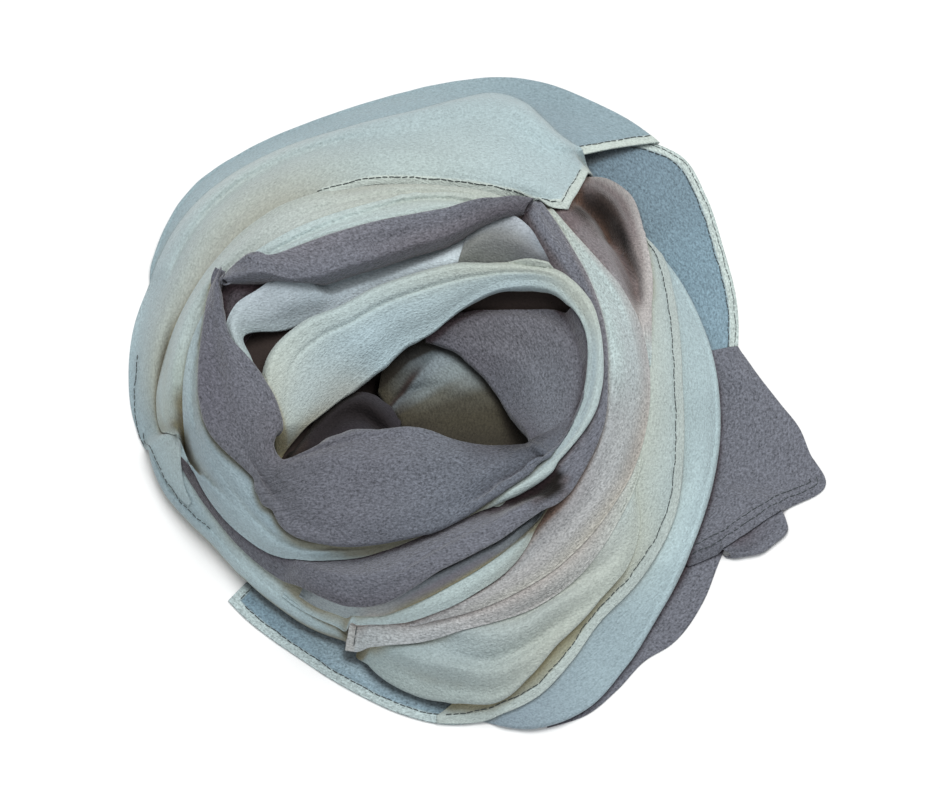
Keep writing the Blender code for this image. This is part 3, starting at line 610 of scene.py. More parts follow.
def sew(name, line, dash=3.0, gap=0.45, width=0.5, seed=1):
    """A row of stitches along a line seen from above. Each is a short five-sided strand, thinner
    at its ends, that stands up in a low arch: lift = sin(pi t)."""
    line = np.asarray(line, float)
    lengths = np.concatenate([[0], np.cumsum(np.hypot(*np.diff(line, axis=0).T))])
    count = int(lengths[-1] / (dash + gap))
    random = np.random.default_rng(seed)
    starts = np.arange(count) * (dash + gap) + random.uniform(0, 0.35, count)
    t = RINGS_AT
    places = starts[:, None] + t[None] * dash * random.uniform(0.85, 1.1, count)[:, None]
    x = np.interp(places, lengths, line[:, 0])
    y = np.interp(places, lengths, line[:, 1])
    ahead = np.stack([x[:, -1] - x[:, 0], y[:, -1] - y[:, 0]], axis=1)
    ahead /= np.linalg.norm(ahead, axis=1, keepdims=True)
    side = np.stack([-ahead[:, 1], ahead[:, 0], 0 * ahead[:, 0]], axis=1)[:, None, None]
    slant = random.uniform(-0.16, 0.16, count)[:, None] * (t[None] - 0.5) * 2
    slant = slant + WANDER * (np.sin(places / 2.1 + seed) + np.sin(places / 3.7 + 2 * seed)) / 2
    x = x + slant * side[:, 0, :, 0]
    y = y + slant * side[:, 0, :, 1]
    z = read_field(laid, x, y) + END_LIFT + ARCH * np.sin(math.pi * t)[None]
    middle = np.stack([x, y, z], axis=-1)[:, :, None]
    angle = 2 * math.pi * np.arange(SIDES) / SIDES
    thick = (width / 2 * SWELL)[None, :, None, None]
    ring = np.cos(angle)[None, None, :, None] * side + np.sin(angle)[None, None, :, None] * (0, 0, 1)
    points = (middle + thick * ring).reshape(-1, 3)
    index = np.arange(len(points)).reshape(count, len(t), SIDES)
    ahead = np.roll(index, -1, axis=2)
    quads = np.stack([index[:, :-1], ahead[:, :-1], ahead[:, 1:], index[:, 1:]], axis=-1).reshape(-1, 4)
    caps = index[:, 0, ::-1].tolist() + index[:, -1].tolist()
    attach(add_mesh(name, points, quads.tolist() + caps, dark_thread), "root")


# The first colour of each chiffon is its painted crease shade, the warm dark colour that its creases are
# mixed toward.
mint_chiffon = chiffon("mint chiffon", (0.27, 0.24, 0.15), 0.62, 0.08, 0.8, 0.25, 0.9)
cream_chiffon = chiffon("cream chiffon", (0.27, 0.23, 0.12), 0.64, 0.08, 0.8, 0.25, 0.95)
mauve_chiffon = chiffon("mauve chiffon", (0.05, 0.03, 0.035), 1.5, 0.28, 0.85, 0.3, 1.0)
slate_chiffon = chiffon("slate chiffon", (0.12, 0.14, 0.15), 1.05, 0.22, 0.85, 0.25, 0.9)
rose_chiffon = chiffon("rose chiffon", (0.20, 0.115, 0.08), 1.1, 0.16, 0.82, 0.25, 1.0)
lilac_chiffon = chiffon("lilac chiffon", (0.24, 0.27, 0.29), 0.65, 0.12, 0.82, 0.25, 0.8)
shaded_chiffon = chiffon("shaded chiffon", (0.025, 0.02, 0.014), 0.9, 0.15, 0.85, 0.15, 0.9)

FLAP_BACK = [
    (60, 152, 180), (51, 147, 194), (47, 144, 197), (40, 140, 191), (31, 140, 181), (22, 140, 174),
    (10, 140, 163),
]
grid = lay_cloth(
    "rear_flap", "flap_back", FLAP_BACK,
    [(0, (0.16, 0.225, 0.275)), (0.35, (0.175, 0.25, 0.3)), (0.6, (0.2, 0.295, 0.355)),
     (1, (0.23, 0.335, 0.4))],
    slate_chiffon, edges=("tuck", "hem"), across=48, hems=[("outer", 0.0, 1.0)],
    hem_colour=(0.5, 0.58, 0.56), creases=[(0.7, 0.5, 0.1, 0.9, 0.6, 8), (0.35, 0.3, 0.2, 0.8, 0.5, 6)],
    seed=11,
)
rim = rim_of(grid, "outer")
sew("rear_flap_stitches_inner", inset(rim, -5.0), seed=21)
sew("rear_flap_stitches_outer", inset(rim, -1.6), width=0.35, seed=22)

# ----------------------------------------------------------------------
# The front flap: the other corner of the slate end, lying flat at the front left, hemmed along
# its long edge and its short edge.

FLAP_FRONT = [
    (226, 118, 133), (232, 117, 134.5), (239, 118, 136), (246, 118, 138.5), (253, 120, 143),
    (260, 122, 148.5), (268, 126, 156), (276, 130, 162), (284, 134, 163),
]
grid = lay_cloth(
    "front_flap", "flap_front", FLAP_FRONT,
    # Its inner side is painted lighter: painted light that makes up for the shade the stretches above
    # cast on it.
    [(0, (0.42, 0.55, 0.62), SLATE, SLATE), (0.6, (0.55, 0.7, 0.8), (0.34, 0.45, 0.51), SLATE),
     (1, (0.55, 0.7, 0.8), (0.34, 0.45, 0.51), SLATE)],
    slate_chiffon, edges=("tuck", "hem"), across=30, hems=[("outer", 0.0, 1.0), ("start", 0.0, 1.0)],
    hem_colour=(0.42, 0.505, 0.51), creases=[(0.5, 0.3, 0.1, 0.9, 0.5, 5)], seed=12,
)
sew("front_flap_stitches", inset(rim_of(grid, "outer", 0.05, 1.0), 4.2), seed=23)
sew("front_flap_end_stitches", inset(rim_of(grid, "start", 0.0, 0.85), 4.0), seed=24)

# ----------------------------------------------------------------------
# The tail: the mauve end of the panel, doubled, sticking out at the right. The upper layer is
# hemmed with two lines of thread, and a small curl of the hem is rolled up beneath it.

TAIL_LOWER = [
    (-20, 139, 168), (-27, 139, 169), (-34, 139, 172.5), (-43, 140, 174), (-48, 140, 171),
    (-55, 144, 174.5), (-61, 148, 177.5), (-68, 152, 175.5),
]
lay_cloth(
    "tail_lower_layer", "tail_lower", TAIL_LOWER,
    # Toward its far end its inner side is painted lighter: painted light against the shade of the turn
    # above it.
    [(0, MAUVE, MAUVE), (1, (0.21, 0.215, 0.245), MAUVE)],
    mauve_chiffon, edges=("tuck", "hem"), across=30, creases=[(0.5, 0.5, 0.1, 0.6, 0.7, 5)], seed=13,
)

TAIL_CURL = [
    (-14.5, 176, 189), (-16, 174, 193), (-17.5, 172, 195.5), (-20, 170, 192), (-22.3, 168, 187.8),
    (-24, 167, 179), (-24.7, 167, 173),
]
lay_cloth(
    "tail_hem_curl", "tail_curl", TAIL_CURL,
    # Plum in the middle of its inner side is painted shade inside the curl.
    [(0, MAUVE, MAUVE), (0.6, SHADED_MAUVE, MAUVE), (1, MAUVE, MAUVE)],
    mauve_chiffon, room=2.4, along=70, across=24,
    creases=[(0.55, 0.6, 0.0, 1.0, 1.2, 2.2), (0.8, 0.85, 0.0, 1.0, -1.0, 1.2)], wave=(0.1, 20), seed=14,
)

TAIL_UPPER = [
    (14, 138, 166.5), (8, 138, 174), (3, 138, 183), (-1, 138, 192), (-5, 138, 198), (-9.3, 138, 207.5),
    (-14.3, 138, 191), (-19, 138, 179), (-24, 138, 169.7), (-30, 138, 157),
]
grid = lay_cloth(
    "tail_upper_layer", "tail_upper", TAIL_UPPER,
    [(0, MAUVE, MAUVE), (1, MAUVE, MAUVE)],
    mauve_chiffon, edges=("tuck", "hem"), along=220, across=60, hems=[("outer", 0.47, 1.0)], hem_band=8.5,
    hem_colour=MAUVE, creases=[(0.75, 0.6, 0.05, 0.5, 0.7, 7), (0.4, 0.45, 0.3, 0.95, -0.6, 6)], seed=15,
)
rim = rim_of(grid, "outer", 0.47, 1.0)
sew("tail_stitches_inner", inset(rim, -7.6), width=0.4, seed=25)
sew("tail_stitches_outer", inset(rim, -4.2), width=0.4, seed=26)

# ----------------------------------------------------------------------
# The rear turn: the outermost mint turn, from the rear right round to the left, lying on the surface
# along its outer edge. Its right-hand end is a stitched hem over the rear flap. Its colour is darkened
# with painted shade along its outer flank and toward its right-hand end.

WRAP_BACK = [
    (61, 154, 196, -10), (67, 148, 197.5, -4), (75, 144, 195.5), (85, 143, 186.5), (95, 143, 177),
    (105, 146, 172.5), (120, 149, 171), (132, 149, 169.5), (142, 147, 162.5), (152, 143, 153.5),
]
# Dull mint is mint darkened with painted shade, where the outer flanks turn away from the light.
SHADED_MINT = (0.30, 0.395, 0.43)
grid = lay_cloth(
    "rear_turn", "wrap_back", WRAP_BACK,
    [(0, (0.26, 0.345, 0.39), (0.27, 0.36, 0.4)), (0.2, (0.25, 0.33, 0.375), (0.27, 0.36, 0.4)),
     (0.4, (0.31, 0.41, 0.45), SHADED_MINT), (0.7, (0.36, 0.46, 0.49), SHADED_MINT),
     (1, (0.37, 0.47, 0.5), SHADED_MINT)],
    mint_chiffon, edges=("tuck", "floor"), along=240, across=44, hems=[("start", 0.0, 1.0)], ends=(0, 12),
    creases=[(0.35, 0.45, 0.1, 0.6, 0.8, 7), (0.7, 0.6, 0.15, 0.9, 0.6, 6)], seed=16,
)
sew("rear_turn_end_stitches", inset(rim_of(grid, "start", 0.0, 0.85), 4.2), seed=27)

# ----------------------------------------------------------------------
# The right-hand turn: a broad mint stretch at the right and the front, lying on the surface. Its inner
# edge goes in under the hemmed stretch, and its colour is darkened toward the front with painted shade,
# where it faces away from the light.

SIDE_OUTER = [
    (39, 139, 150), (30, 130, 152), (15, 124, 152.5), (0, 121, 152.6), (-15, 124, 153), (-30, 128, 156),
    (-42, 131, 161), (-52, 136, 169), (-61, 142, 176.5), (-70, 148, 174.5), (-78, 152, 165),
]
lay_cloth(
    "side_turn", "side_outer", SIDE_OUTER,
    [(0, MINT, MINT), (0.35, (0.38, 0.48, 0.49), MINT), (0.55, (0.4, 0.48, 0.46), (0.43, 0.55, 0.58)),
     (0.75, (0.3, 0.385, 0.42), (0.32, 0.415, 0.455)), (1, (0.24, 0.31, 0.36), (0.25, 0.32, 0.37))],
    mint_chiffon, edges=("tuck", "floor"), along=260, across=44, ends=(0, 12),
    creases=[(0.55, 0.45, 0.15, 0.55, 1.0, 5), (0.8, 0.75, 0.1, 0.8, 0.5, 5)], seed=17,
)

# ----------------------------------------------------------------------
# The left-hand turn: the same outer turn where it comes round to the front left. Its stitches
# are sewn further on, once the top turn lies over it.

WRAP_LEFT = [
    (184, 120, 134), (191, 118, 133.5), (198, 116, 131), (206, 113, 126), (214, 110, 121.8),
    (224, 109, 121), (236, 109, 122), (247, 112, 124), (258, 113, 124),
]
lay_cloth(
    "left_turn", "wrap_left", WRAP_LEFT,
    # Its outer side is painted darker near its start: painted shade on the flank that turns away from the
    # light.
    [(0, (0.36, 0.46, 0.485), SHADED_MINT), (0.3, (0.36, 0.46, 0.485), SHADED_MINT), (0.6, MINT, MINT),
     (1, MINT, MINT)],
    mint_chiffon, edges=("tuck", "floor"), across=24, ends=(10, 15), seed=18,
)

# ----------------------------------------------------------------------
# The hemmed stretch on the right-hand turn: cream cloth whose long edge is a rolled hem with
# one line of dark stitches, lying on the turn below.

SIDE_HEM = [
    (39, 145, 152), (34, 136, 150.5), (26, 126, 144), (15, 114, 137), (3, 111, 133.5), (-9, 111, 135.5),
    (-26, 112, 142.5), (-40, 120, 144.8), (-52, 126, 147), (-60, 131, 154.6), (-68, 136, 162),
    (-75, 142, 163.8), (-81, 150, 163), (-86, 157, 161),
]
grid = lay_cloth(
    "side_hem_turn", "side_hem", SIDE_HEM,
    # Toward the front it turns olive: painted shade in the crevice under the loose folds.
    [(0, CREAM, PALE), (0.25, CREAM, PALE), (0.45, (0.43, 0.47, 0.42), PALE),
     (0.6, (0.42, 0.43, 0.33), CREAM), (0.75, OLIVE_SHADE, (0.36, 0.37, 0.28)),
     (0.9, OLIVE_SHADE, (0.35, 0.38, 0.33)), (1, (0.46, 0.53, 0.51), (0.46, 0.53, 0.51))],
    cream_chiffon, edges=("tuck", "hem"), along=280, across=30, hems=[("outer", 0.0, 1.0)], hem_band=4.2,
    hem_colour=(0.46, 0.53, 0.51), ends=(0, 25), seed=19,
)
sew("side_hem_stitches", inset(rim_of(grid, "outer"), -4.3), seed=28)

# ----------------------------------------------------------------------
# The front folds: loose folds of the same cloth puffed out over the hem in front. Long uneven
# ridges and troughs run along them.

FRONT_FOLDS = [
    (-18, 112, 117), (-25, 112, 124), (-32, 112, 134), (-40, 112, 140.5), (-50, 110, 142.5),
    (-60, 110, 147), (-68, 110, 156), (-75, 110, 161), (-82, 110, 157), (-90, 111, 150), (-97, 113, 142),
    (-103, 115, 132),
]
lay_cloth(
    "front_loose_folds", "front_folds", FRONT_FOLDS,
    [(0, CREAM, PALE, CREAM), (0.3, (0.44, 0.46, 0.41), (0.44, 0.48, 0.45), CREAM),
     (0.5, (0.36, 0.38, 0.37), (0.4, 0.455, 0.44), (0.4, 0.44, 0.4)),
     (0.75, (0.3, 0.34, 0.34), (0.34, 0.41, 0.42), (0.33, 0.39, 0.38)),
     (1, (0.3, 0.36, 0.37), (0.3, 0.38, 0.39), (0.3, 0.37, 0.37))],
    cream_chiffon, room=3.0, along=240, across=60, ends=(35, 10),
    press=[(0, 1), (0.2, 0.85), (0.35, 0.3), (0.5, 0.15), (1, 0.5)],
    creases=[(0.9, 0.35, 0.2, 0.75, 4.0, 5), (0.8, 0.25, 0.18, 0.7, -3.4, 3.8),
        (1.0, 0.5, 0.3, 0.8, -3.4, 3.8), (0.95, 0.6, 0.45, 0.92, 3.4, 4.5),
        (1.0, 0.75, 0.55, 0.95, -2.6, 3.5), (0.6, 0.15, 0.1, 0.6, 2.4, 4.5),
        (0.5, 0.3, 0.6, 1.0, -2.2, 4)],
    seed=20,
)

# ----------------------------------------------------------------------
# The rose folds: where the dye passes from mint to mauve, at the right and in front. The one at
# the right has a deep hollow in it, and the one in front ends in a short stitched hem.

SIDE_ROSE = [
    (57, 124, 146), (52.5, 114, 161), (48, 112, 163.5), (42, 111, 155), (36, 111, 146), (30, 111, 139),
    (24, 111, 132), (16, 110, 125.5), (6, 110, 120.5),
]
# Deepest is a painted shade, all but black, for notches and pits where hardly any light gets in.
DEEPEST_SHADE = (0.006, 0.004, 0.003)
TAUPE = (0.155, 0.125, 0.13)
DUSK = (0.20, 0.18, 0.188)
BLUSH = (0.47, 0.445, 0.435)
lay_cloth(
    "side_rose_turn", "side_rose", SIDE_ROSE,
    # The darkest colours in the middle of the rows are painted shade deep in the hollow.
    [(0, MAUVE, TAUPE, TAUPE, TAUPE, TAUPE, TAUPE, (0.2, 0.18, 0.175)),
     (0.12, MAUVE, TAUPE, UMBER_SHADE, UMBER_SHADE, (0.11, 0.09, 0.09), (0.17, 0.145, 0.145), (0.3, 0.28, 0.27)),
     (0.2, TAUPE, TAUPE, UMBER_SHADE, UMBER_SHADE, UMBER_SHADE, (0.16, 0.135, 0.135), (0.38, 0.355, 0.345)),
     (0.3, DUSK, DUSK, (0.13, 0.11, 0.11), UMBER_SHADE, UMBER_SHADE, (0.16, 0.135, 0.135), (0.42, 0.395, 0.385)),
     (0.4, DUSK, DUSK, DUSK, TAUPE, (0.02, 0.015, 0.014), (0.2, 0.17, 0.17), BLUSH),
     (0.5, (0.32, 0.29, 0.28), DUSK, DUSK, TAUPE, (0.06, 0.048, 0.046), (0.28, 0.25, 0.245), BLUSH),
     (0.65, ROSE, ROSE, DUSK, (0.12, 0.1, 0.1), (0.2, 0.17, 0.17), (0.4, 0.375, 0.365), BLUSH),
     (0.8, ROSE, ROSE, BLUSH, (0.36, 0.34, 0.33), BLUSH, BLUSH, BLUSH),
     (1, PALE, PALE, PALE, PALE, PALE, PALE, PALE)],
    rose_chiffon, room=3.0, across=60, ends=(0, 25), press=[(0, 0.1), (0.5, 0.2), (1, 0.9)],
    creases=[(0.48, 0.62, 0.05, 0.78, -22.0, 5.5), (0.9, 0.9, 0.05, 0.7, 2.0, 4),
        (0.66, 0.7, -0.1, 0.9, 2.5, 6), (0.82, 0.86, 0.1, 0.7, -1.6, 3)],
    seed=31,
)

FRONT_ROSE = [
    (-18, 110, 121), (-32, 110, 124), (-48, 108, 128), (-60, 107, 129), (-74, 107, 127.5),
    (-88, 109, 129.5), (-98, 112, 132), (-105, 116, 133.5),
]
grid = lay_cloth(
    "front_rose_fold", "front_rose", FRONT_ROSE,
    # Its inner side is warm brown in the middle: painted shade along the crevice under the mint folds.
    [(0, ROSE, CREAM), (0.35, (0.32, 0.25, 0.21), (0.43, 0.44, 0.43)),
     (0.6, (0.34, 0.25, 0.2), (0.43, 0.43, 0.43)), (0.8, (0.38, 0.36, 0.35), (0.43, 0.45, 0.46)),
     (1, (0.44, 0.46, 0.47), (0.43, 0.47, 0.48))],
    rose_chiffon, across=30, hems=[("end", 0.0, 1.0)], hem_colour=(0.46, 0.47, 0.46), rest=14,
    ends=(40, 0), press=[(0, 1), (0.5, 0.95), (0.75, 0.7), (1, 0.5)],
    creases=[(0.4, 0.55, 0.3, 0.9, 1.2, 3), (0.75, 0.7, 0.4, 1.0, -1.0, 2.5)], puff=0.8, seed=32,
)
sew("front_rose_end_stitches", inset(rim_of(grid, "end", 0.2, 0.8), 4.0), seed=33)

# ----------------------------------------------------------------------
# The mint folds on the right and in front, folded edge outwards, the upper on the lower, and
# the plum fold that lies on them.

SIDE_MINT = [
    (57, 112, 121.5), (48, 106, 117.5), (38, 100, 116.5), (25, 94, 119), (10, 91, 119.5), (-10, 91, 119),
    (-30, 92, 119), (-44, 93, 120), (-56, 98, 121), (-68, 104, 121.5), (-80, 108, 122.5), (-91, 113, 124),
]
lay_cloth(
    "side_mint_turn", "side_mint", SIDE_MINT,
    # From about its middle on, its inner side is darker and warmer: painted shade in the crevice beside
    # the ring.
    [(0, CREAM, CREAM, CREAM, CREAM), (0.18, CREAM, PALE, PALE, (0.4, 0.42, 0.42)),
     (0.33, (0.37, 0.42, 0.42), PALE, (0.42, 0.48, 0.49), (0.37, 0.37, 0.37)),
     (0.48, (0.26, 0.25, 0.25), (0.36, 0.38, 0.39), (0.4, 0.42, 0.425), (0.4, 0.38, 0.35)),
     (0.65, (0.24, 0.2, 0.18), (0.29, 0.29, 0.3), (0.38, 0.39, 0.395), (0.42, 0.41, 0.37)),
     (0.8, (0.3, 0.24, 0.2), (0.34, 0.35, 0.36), (0.37, 0.37, 0.37), (0.42, 0.42, 0.39)),
     (1, BEIGE, ROSE, ROSE, ROSE)],
    rose_chiffon, room=2.6, along=280, across=40, rest=18, ends=(0, 20),
    press=[(0, 0.5), (0.15, 0.7), (0.4, 0.95), (0.8, 0.95), (1, 0.6)],
    creases=[(0.5, 0.6, 0.4, 0.95, -1.8, 3), (0.72, 0.82, 0.35, 1.0, 1.6, 3.5),
        (0.3, 0.4, 0.1, 0.7, 1.2, 5), (0.28, 0.42, 0.55, 1.0, -1.4, 2.6)],
    puff=1.0, seed=34,
)

STRIP_MINT = [
    (-43, 91, 93.5), (-50, 92, 97.5), (-57, 94, 104.5), (-66, 95, 111), (-74, 98, 115), (-81, 101, 119),
    (-88, 104, 121.5), (-96, 108, 124), (-106, 111, 125.5), (-113, 112, 124.5), (-123, 113, 122),
]
lay_cloth(
    "front_mint_fold", "strip_mint", STRIP_MINT,
    [(0, PALE, PALE, CREAM), (0.5, PALE, PALE, PALE), (1, MINT, MINT, MINT)],
    mint_chiffon, across=24, rest=9, ends=(20, 30), press=[(0, 0.8), (1, 0.7)], puff=0.8, seed=35,
)

STRIP_CREAM = [
    (-47, 91, 94), (-54, 92, 97.5), (-61, 94, 101.5), (-72, 95, 107), (-80, 98, 111), (-88, 101, 116),
    (-97, 105, 121.5), (-108, 110, 123), (-119, 112, 119.5),
]
lay_cloth(
    "front_plum_fold", "strip_cream", STRIP_CREAM,
    # Olive along its outer side, and across it where the mauve ends, is a painted shade line in the
    # crevice.
    [(0, MAUVE, MAUVE, MAUVE, MAUVE, MAUVE, OLIVE_SHADE),
     (0.6, MAUVE, MAUVE, MAUVE, MAUVE, (0.17, 0.16, 0.18), OLIVE_SHADE),
     (0.72, MAUVE, MAUVE, MAUVE, (0.17, 0.16, 0.18), BEIGE, BEIGE),
     (0.8, OLIVE_SHADE, OLIVE_SHADE, OLIVE_SHADE, (0.36, 0.4, 0.37), PALE, PALE),
     (1, CREAM, CREAM, CREAM, PALE, PALE, PALE)],
    lilac_chiffon, across=24, rest=8, ends=(20, 12), press=[(0, 0.9), (1, 0.9)],
    puff=0.8, seed=36,
)

# ----------------------------------------------------------------------
# The mauve ring: the dark end of the dye, a fold that goes round the right and the front. It is painted
# nearly black in the small notch at the front right, a painted shade where hardly any light gets in, and
# painted darker at its ends, where it goes in under other folds.

RING_FRONT = [
    (58, 98, 117.5), (50, 90, 111.5), (40, 88, 105.5), (28, 87, 101.3), (14, 87, 98.3), (0, 87, 96.5),
    (-15, 87, 98.3), (-30, 83, 98.5), (-42, 80, 99.5), (-52, 78, 98.5), (-60, 76, 99.5), (-72, 75, 101.5),
    (-82, 77, 105.5), (-90, 81, 112.5), (-97, 86, 119), (-105, 91, 122), (-113, 95, 121),
    (-122, 100, 118), (-135, 104, 117.5), (-147, 109, 118.5), (-156, 113, 120.5), (-163, 117, 122),
    (-167, 120.5, 122),
]
lay_cloth(
    "mauve_ring_front", "ring_front", RING_FRONT,
    [(0, (0.05, 0.04, 0.045), (0.07, 0.06, 0.065), MAUVE, MAUVE, MAUVE),
     (0.12, (0.06, 0.05, 0.055), (0.11, 0.1, 0.11), MAUVE, MAUVE, (0.17, 0.165, 0.18)),
     (0.3, (0.17, 0.165, 0.19), (0.17, 0.17, 0.195), (0.15, 0.15, 0.17), MAUVE, MAUVE),
     (0.385, (0.08, 0.07, 0.075), (0.12, 0.11, 0.12), MAUVE, MAUVE, MAUVE),
     (0.397, DEEPEST_SHADE, DEEPEST_SHADE, DEEPEST_SHADE, (0.09, 0.08, 0.088), MAUVE),
     (0.41, DEEPEST_SHADE, DEEPEST_SHADE, DEEPEST_SHADE, DEEPEST_SHADE, (0.12, 0.115, 0.13)),
     (0.43, DEEPEST_SHADE, DEEPEST_SHADE, DEEPEST_SHADE, (0.012, 0.009, 0.008), MAUVE),
     (0.447, DEEPEST_SHADE, DEEPEST_SHADE, DEEPEST_SHADE, (0.08, 0.072, 0.08), MAUVE),
     (0.463, DEEPEST_SHADE, DEEPEST_SHADE, (0.06, 0.052, 0.055), MAUVE, MAUVE),
     (0.482, (0.02, 0.016, 0.015), (0.08, 0.072, 0.08), MAUVE, MAUVE, MAUVE),
     (0.55, MAUVE, MAUVE, MAUVE, MAUVE, MAUVE),
     (0.7, MAUVE, MAUVE, MAUVE, (0.125, 0.13, 0.155), (0.1, 0.1, 0.12)),
     (0.82, (0.05, 0.05, 0.06), (0.06, 0.06, 0.075), (0.085, 0.085, 0.105), (0.1, 0.105, 0.125),
      (0.1, 0.105, 0.125)),
     (1, SHADED_MAUVE, SHADED_MAUVE, (0.06, 0.055, 0.065), (0.06, 0.055, 0.065), (0.06, 0.055, 0.065))],
    mauve_chiffon, along=360, across=34, rest=9, ends=(0, 22),
    press=[(0, 0.4), (0.5, 0.4), (0.75, 0.4), (1, 0.8)],
    creases=[(0.55, 0.75, 0.5, 0.8, -2.0, 2.2), (0.35, 0.2, 0.0, 0.25, -2.2, 4),
        (0.45, 0.3, 0.385, 0.51, -7, 5)],
    puff=0.6, seed=37,
)

# ----------------------------------------------------------------------
# The top turn: the broad mint stretch at the rear and left that ends in a stitched corner. Its
# inner edge is hemmed at the rear, and its far end lies down on the left-hand turn.

WRAP_TOP = [
    (51.5, 123, 160.5, 4.5), (57, 114.5, 164, 3), (63, 112, 166, 1), (68, 111, 172), (72, 110, 179),
    (77, 108.5, 181), (83, 108, 172), (90, 108, 162), (101, 111, 157), (115, 114, 158), (127, 117, 158),
    (140, 119, 157), (150, 121, 153), (160, 124, 150), (170, 125, 145.5), (178, 122, 141.5),
    (185, 118, 136.5), (191, 118, 132), (196, 120.5, 129.5), (201, 122, 126.5), (205, 122, 123.8),
]
grid = lay_cloth(
    "top_turn", "wrap_top", WRAP_TOP,
    # Its inner side turns warm and dark toward the left, to olive by the pocket: painted shade in the
    # crevice beside the rolls.
    [(0, (0.42, 0.52, 0.54), (0.41, 0.52, 0.545)), (0.3, (0.42, 0.5, 0.49), (0.38, 0.47, 0.49)),
     (0.5, (0.37, 0.385, 0.335), (0.43, 0.51, 0.51)), (0.7, (0.4, 0.42, 0.37), (0.37, 0.465, 0.495)),
     (0.82, (0.34, 0.34, 0.27), (0.33, 0.43, 0.47)), (0.87, OLIVE_SHADE, (0.33, 0.43, 0.47)),
     (0.91, (0.33, 0.39, 0.39), (0.36, 0.46, 0.485)), (1, (0.36, 0.46, 0.485), (0.36, 0.46, 0.485))],
    mint_chiffon, edges=("hem", "melt"), along=320, across=60,
    hems=[("inner", 0.0, 0.42), ("start", 0.0, 1.0)], rest=20, ends=(0, 62),
    creases=[(0.55, 0.5, 0.3, 0.75, 1.2, 10), (0.22, 0.3, 0.25, 0.6, -1.8, 4),
        (0.18, 0.22, 0.5, 0.85, 1.4, 6), (0.08, 0.12, 0.42, 0.82, -2.0, 2.5),
        (0.05, 0.3, 0.83, 0.93, -3.5, 5)],
    seed=38,
)
sew("top_turn_stitches", inset(rim_of(grid, "inner", 0.01, 0.44), -3.4), gap=0.3, seed=39)
LEFT_HEM = [(183, 136), (187, 134), (191, 131.5), (196, 129.3), (201, 127), (207, 123.4), (213, 120)]
sew("left_turn_stitches", clock_line(LEFT_HEM), seed=52)
TOP_LEFT_HEM = [(166, 143), (171, 141.5), (176, 140.5), (181, 139), (186, 135.5)]
sew("top_turn_left_stitches", clock_line(TOP_LEFT_HEM), seed=53)
sew("top_turn_end_stitches", inset(rim_of(grid, "start", 0.05, 0.75), 4.2), seed=40)

# ----------------------------------------------------------------------
# The two rolls at the left: cream outside and mint inside, each a soft folded turn. The outer one ends in
# a small pocket, painted dark olive with the shade that fills it.

ROLL_OUTER = [
    (61, 104, 111.5), (72, 98, 109.5), (83, 96, 107.5), (94, 94, 108), (105, 91, 111), (116, 91, 114),
    (127, 93, 118.5), (137, 97, 122.5), (149, 104, 127), (160, 108, 130.5), (171, 110, 131.5),
    (178, 111, 131.8), (183, 111, 130.5), (187, 111, 127), (190, 111, 121), (192.5, 111, 116),
]
lay_cloth(
    "outer_roll", "roll_outer", ROLL_OUTER,
    [(0, CREAM, CREAM, CREAM, CREAM),
     (0.25, (0.44, 0.47, 0.41), (0.44, 0.48, 0.44), (0.43, 0.47, 0.43), (0.4, 0.43, 0.38)),
     (0.5, (0.41, 0.45, 0.42), (0.44, 0.49, 0.47), (0.43, 0.48, 0.46), (0.39, 0.44, 0.41)),
     (0.75, (0.36, 0.43, 0.42), (0.4, 0.47, 0.46), (0.4, 0.48, 0.48), (0.36, 0.45, 0.46)),
     (0.86, (0.3, 0.34, 0.31), (0.34, 0.4, 0.37), (0.38, 0.46, 0.45), (0.38, 0.46, 0.46)),
     (0.91, (0.12, 0.11, 0.07), (0.16, 0.15, 0.1), (0.37, 0.43, 0.4), (0.4, 0.48, 0.47)),
     (0.945, (0.04, 0.033, 0.02), (0.045, 0.037, 0.022), (0.16, 0.155, 0.105), (0.38, 0.45, 0.43)),
     (1, (0.05, 0.042, 0.025), (0.05, 0.042, 0.025), OLIVE_SHADE, (0.32, 0.37, 0.34))],
    cream_chiffon, room=2.8, deep=7.0, along=300, across=38, rest=9, ends=(0, 14),
    press=[(0, 0.1), (0.45, 0.15), (0.6, 0.7), (0.85, 0.7), (0.95, 0.9), (1, 1)],
    creases=[(0.45, 0.55, 0.05, 0.5, -2.2, 2.2), (0.62, 0.5, 0.38, 0.85, 1.4, 4),
        (0.4, 0.3, 0.45, 0.85, -2.0, 2.6), (0.4, 0.45, 0.87, 1.06, -6.0, 5)],
    puff=1.2, seed=41,
)

ROLL_INNER = [
    (62, 96, 105), (77, 86, 102), (90, 77, 98.5), (110, 76, 96), (132, 84, 101.5), (146, 100, 109),
    (158, 104, 113), (168, 104, 115.5), (180, 103, 117.5), (191, 102, 118.6), (202, 96, 118.8),
    (213, 93, 117), (222, 94, 114.5), (231, 96, 112), (239, 94, 108), (248, 88, 101), (258, 84, 94),
    (268, 82, 86.5), (274, 80, 82.5),
]
lay_cloth(
    "inner_roll", "roll_inner", ROLL_INNER,
    # A little past its middle, at the lower left, it is painted darker: painted shade.
    [(0, PALE, CREAM), (0.3, PALE, PALE), (0.5, (0.36, 0.44, 0.46), (0.34, 0.42, 0.44)),
     (0.65, (0.27, 0.34, 0.37), (0.27, 0.35, 0.385)), (0.8, (0.3, 0.4, 0.45), (0.33, 0.42, 0.45)),
     (1, MINT, MINT)],
    mint_chiffon, room=2.8, along=340, across=34, rest=10, ends=(0, 15),
    press=[(0, 0.5), (0.5, 0.5), (0.62, 0.85), (1, 0.8)],
    creases=[(0.6, 0.5, 0.5, 0.97, -2.8, 1.8), (0.4, 0.5, 0.05, 0.4, 1.0, 4),
        (0.6, 0.6, 0.1, 0.45, -1.6, 2)],
    puff=0.8, seed=42,
)
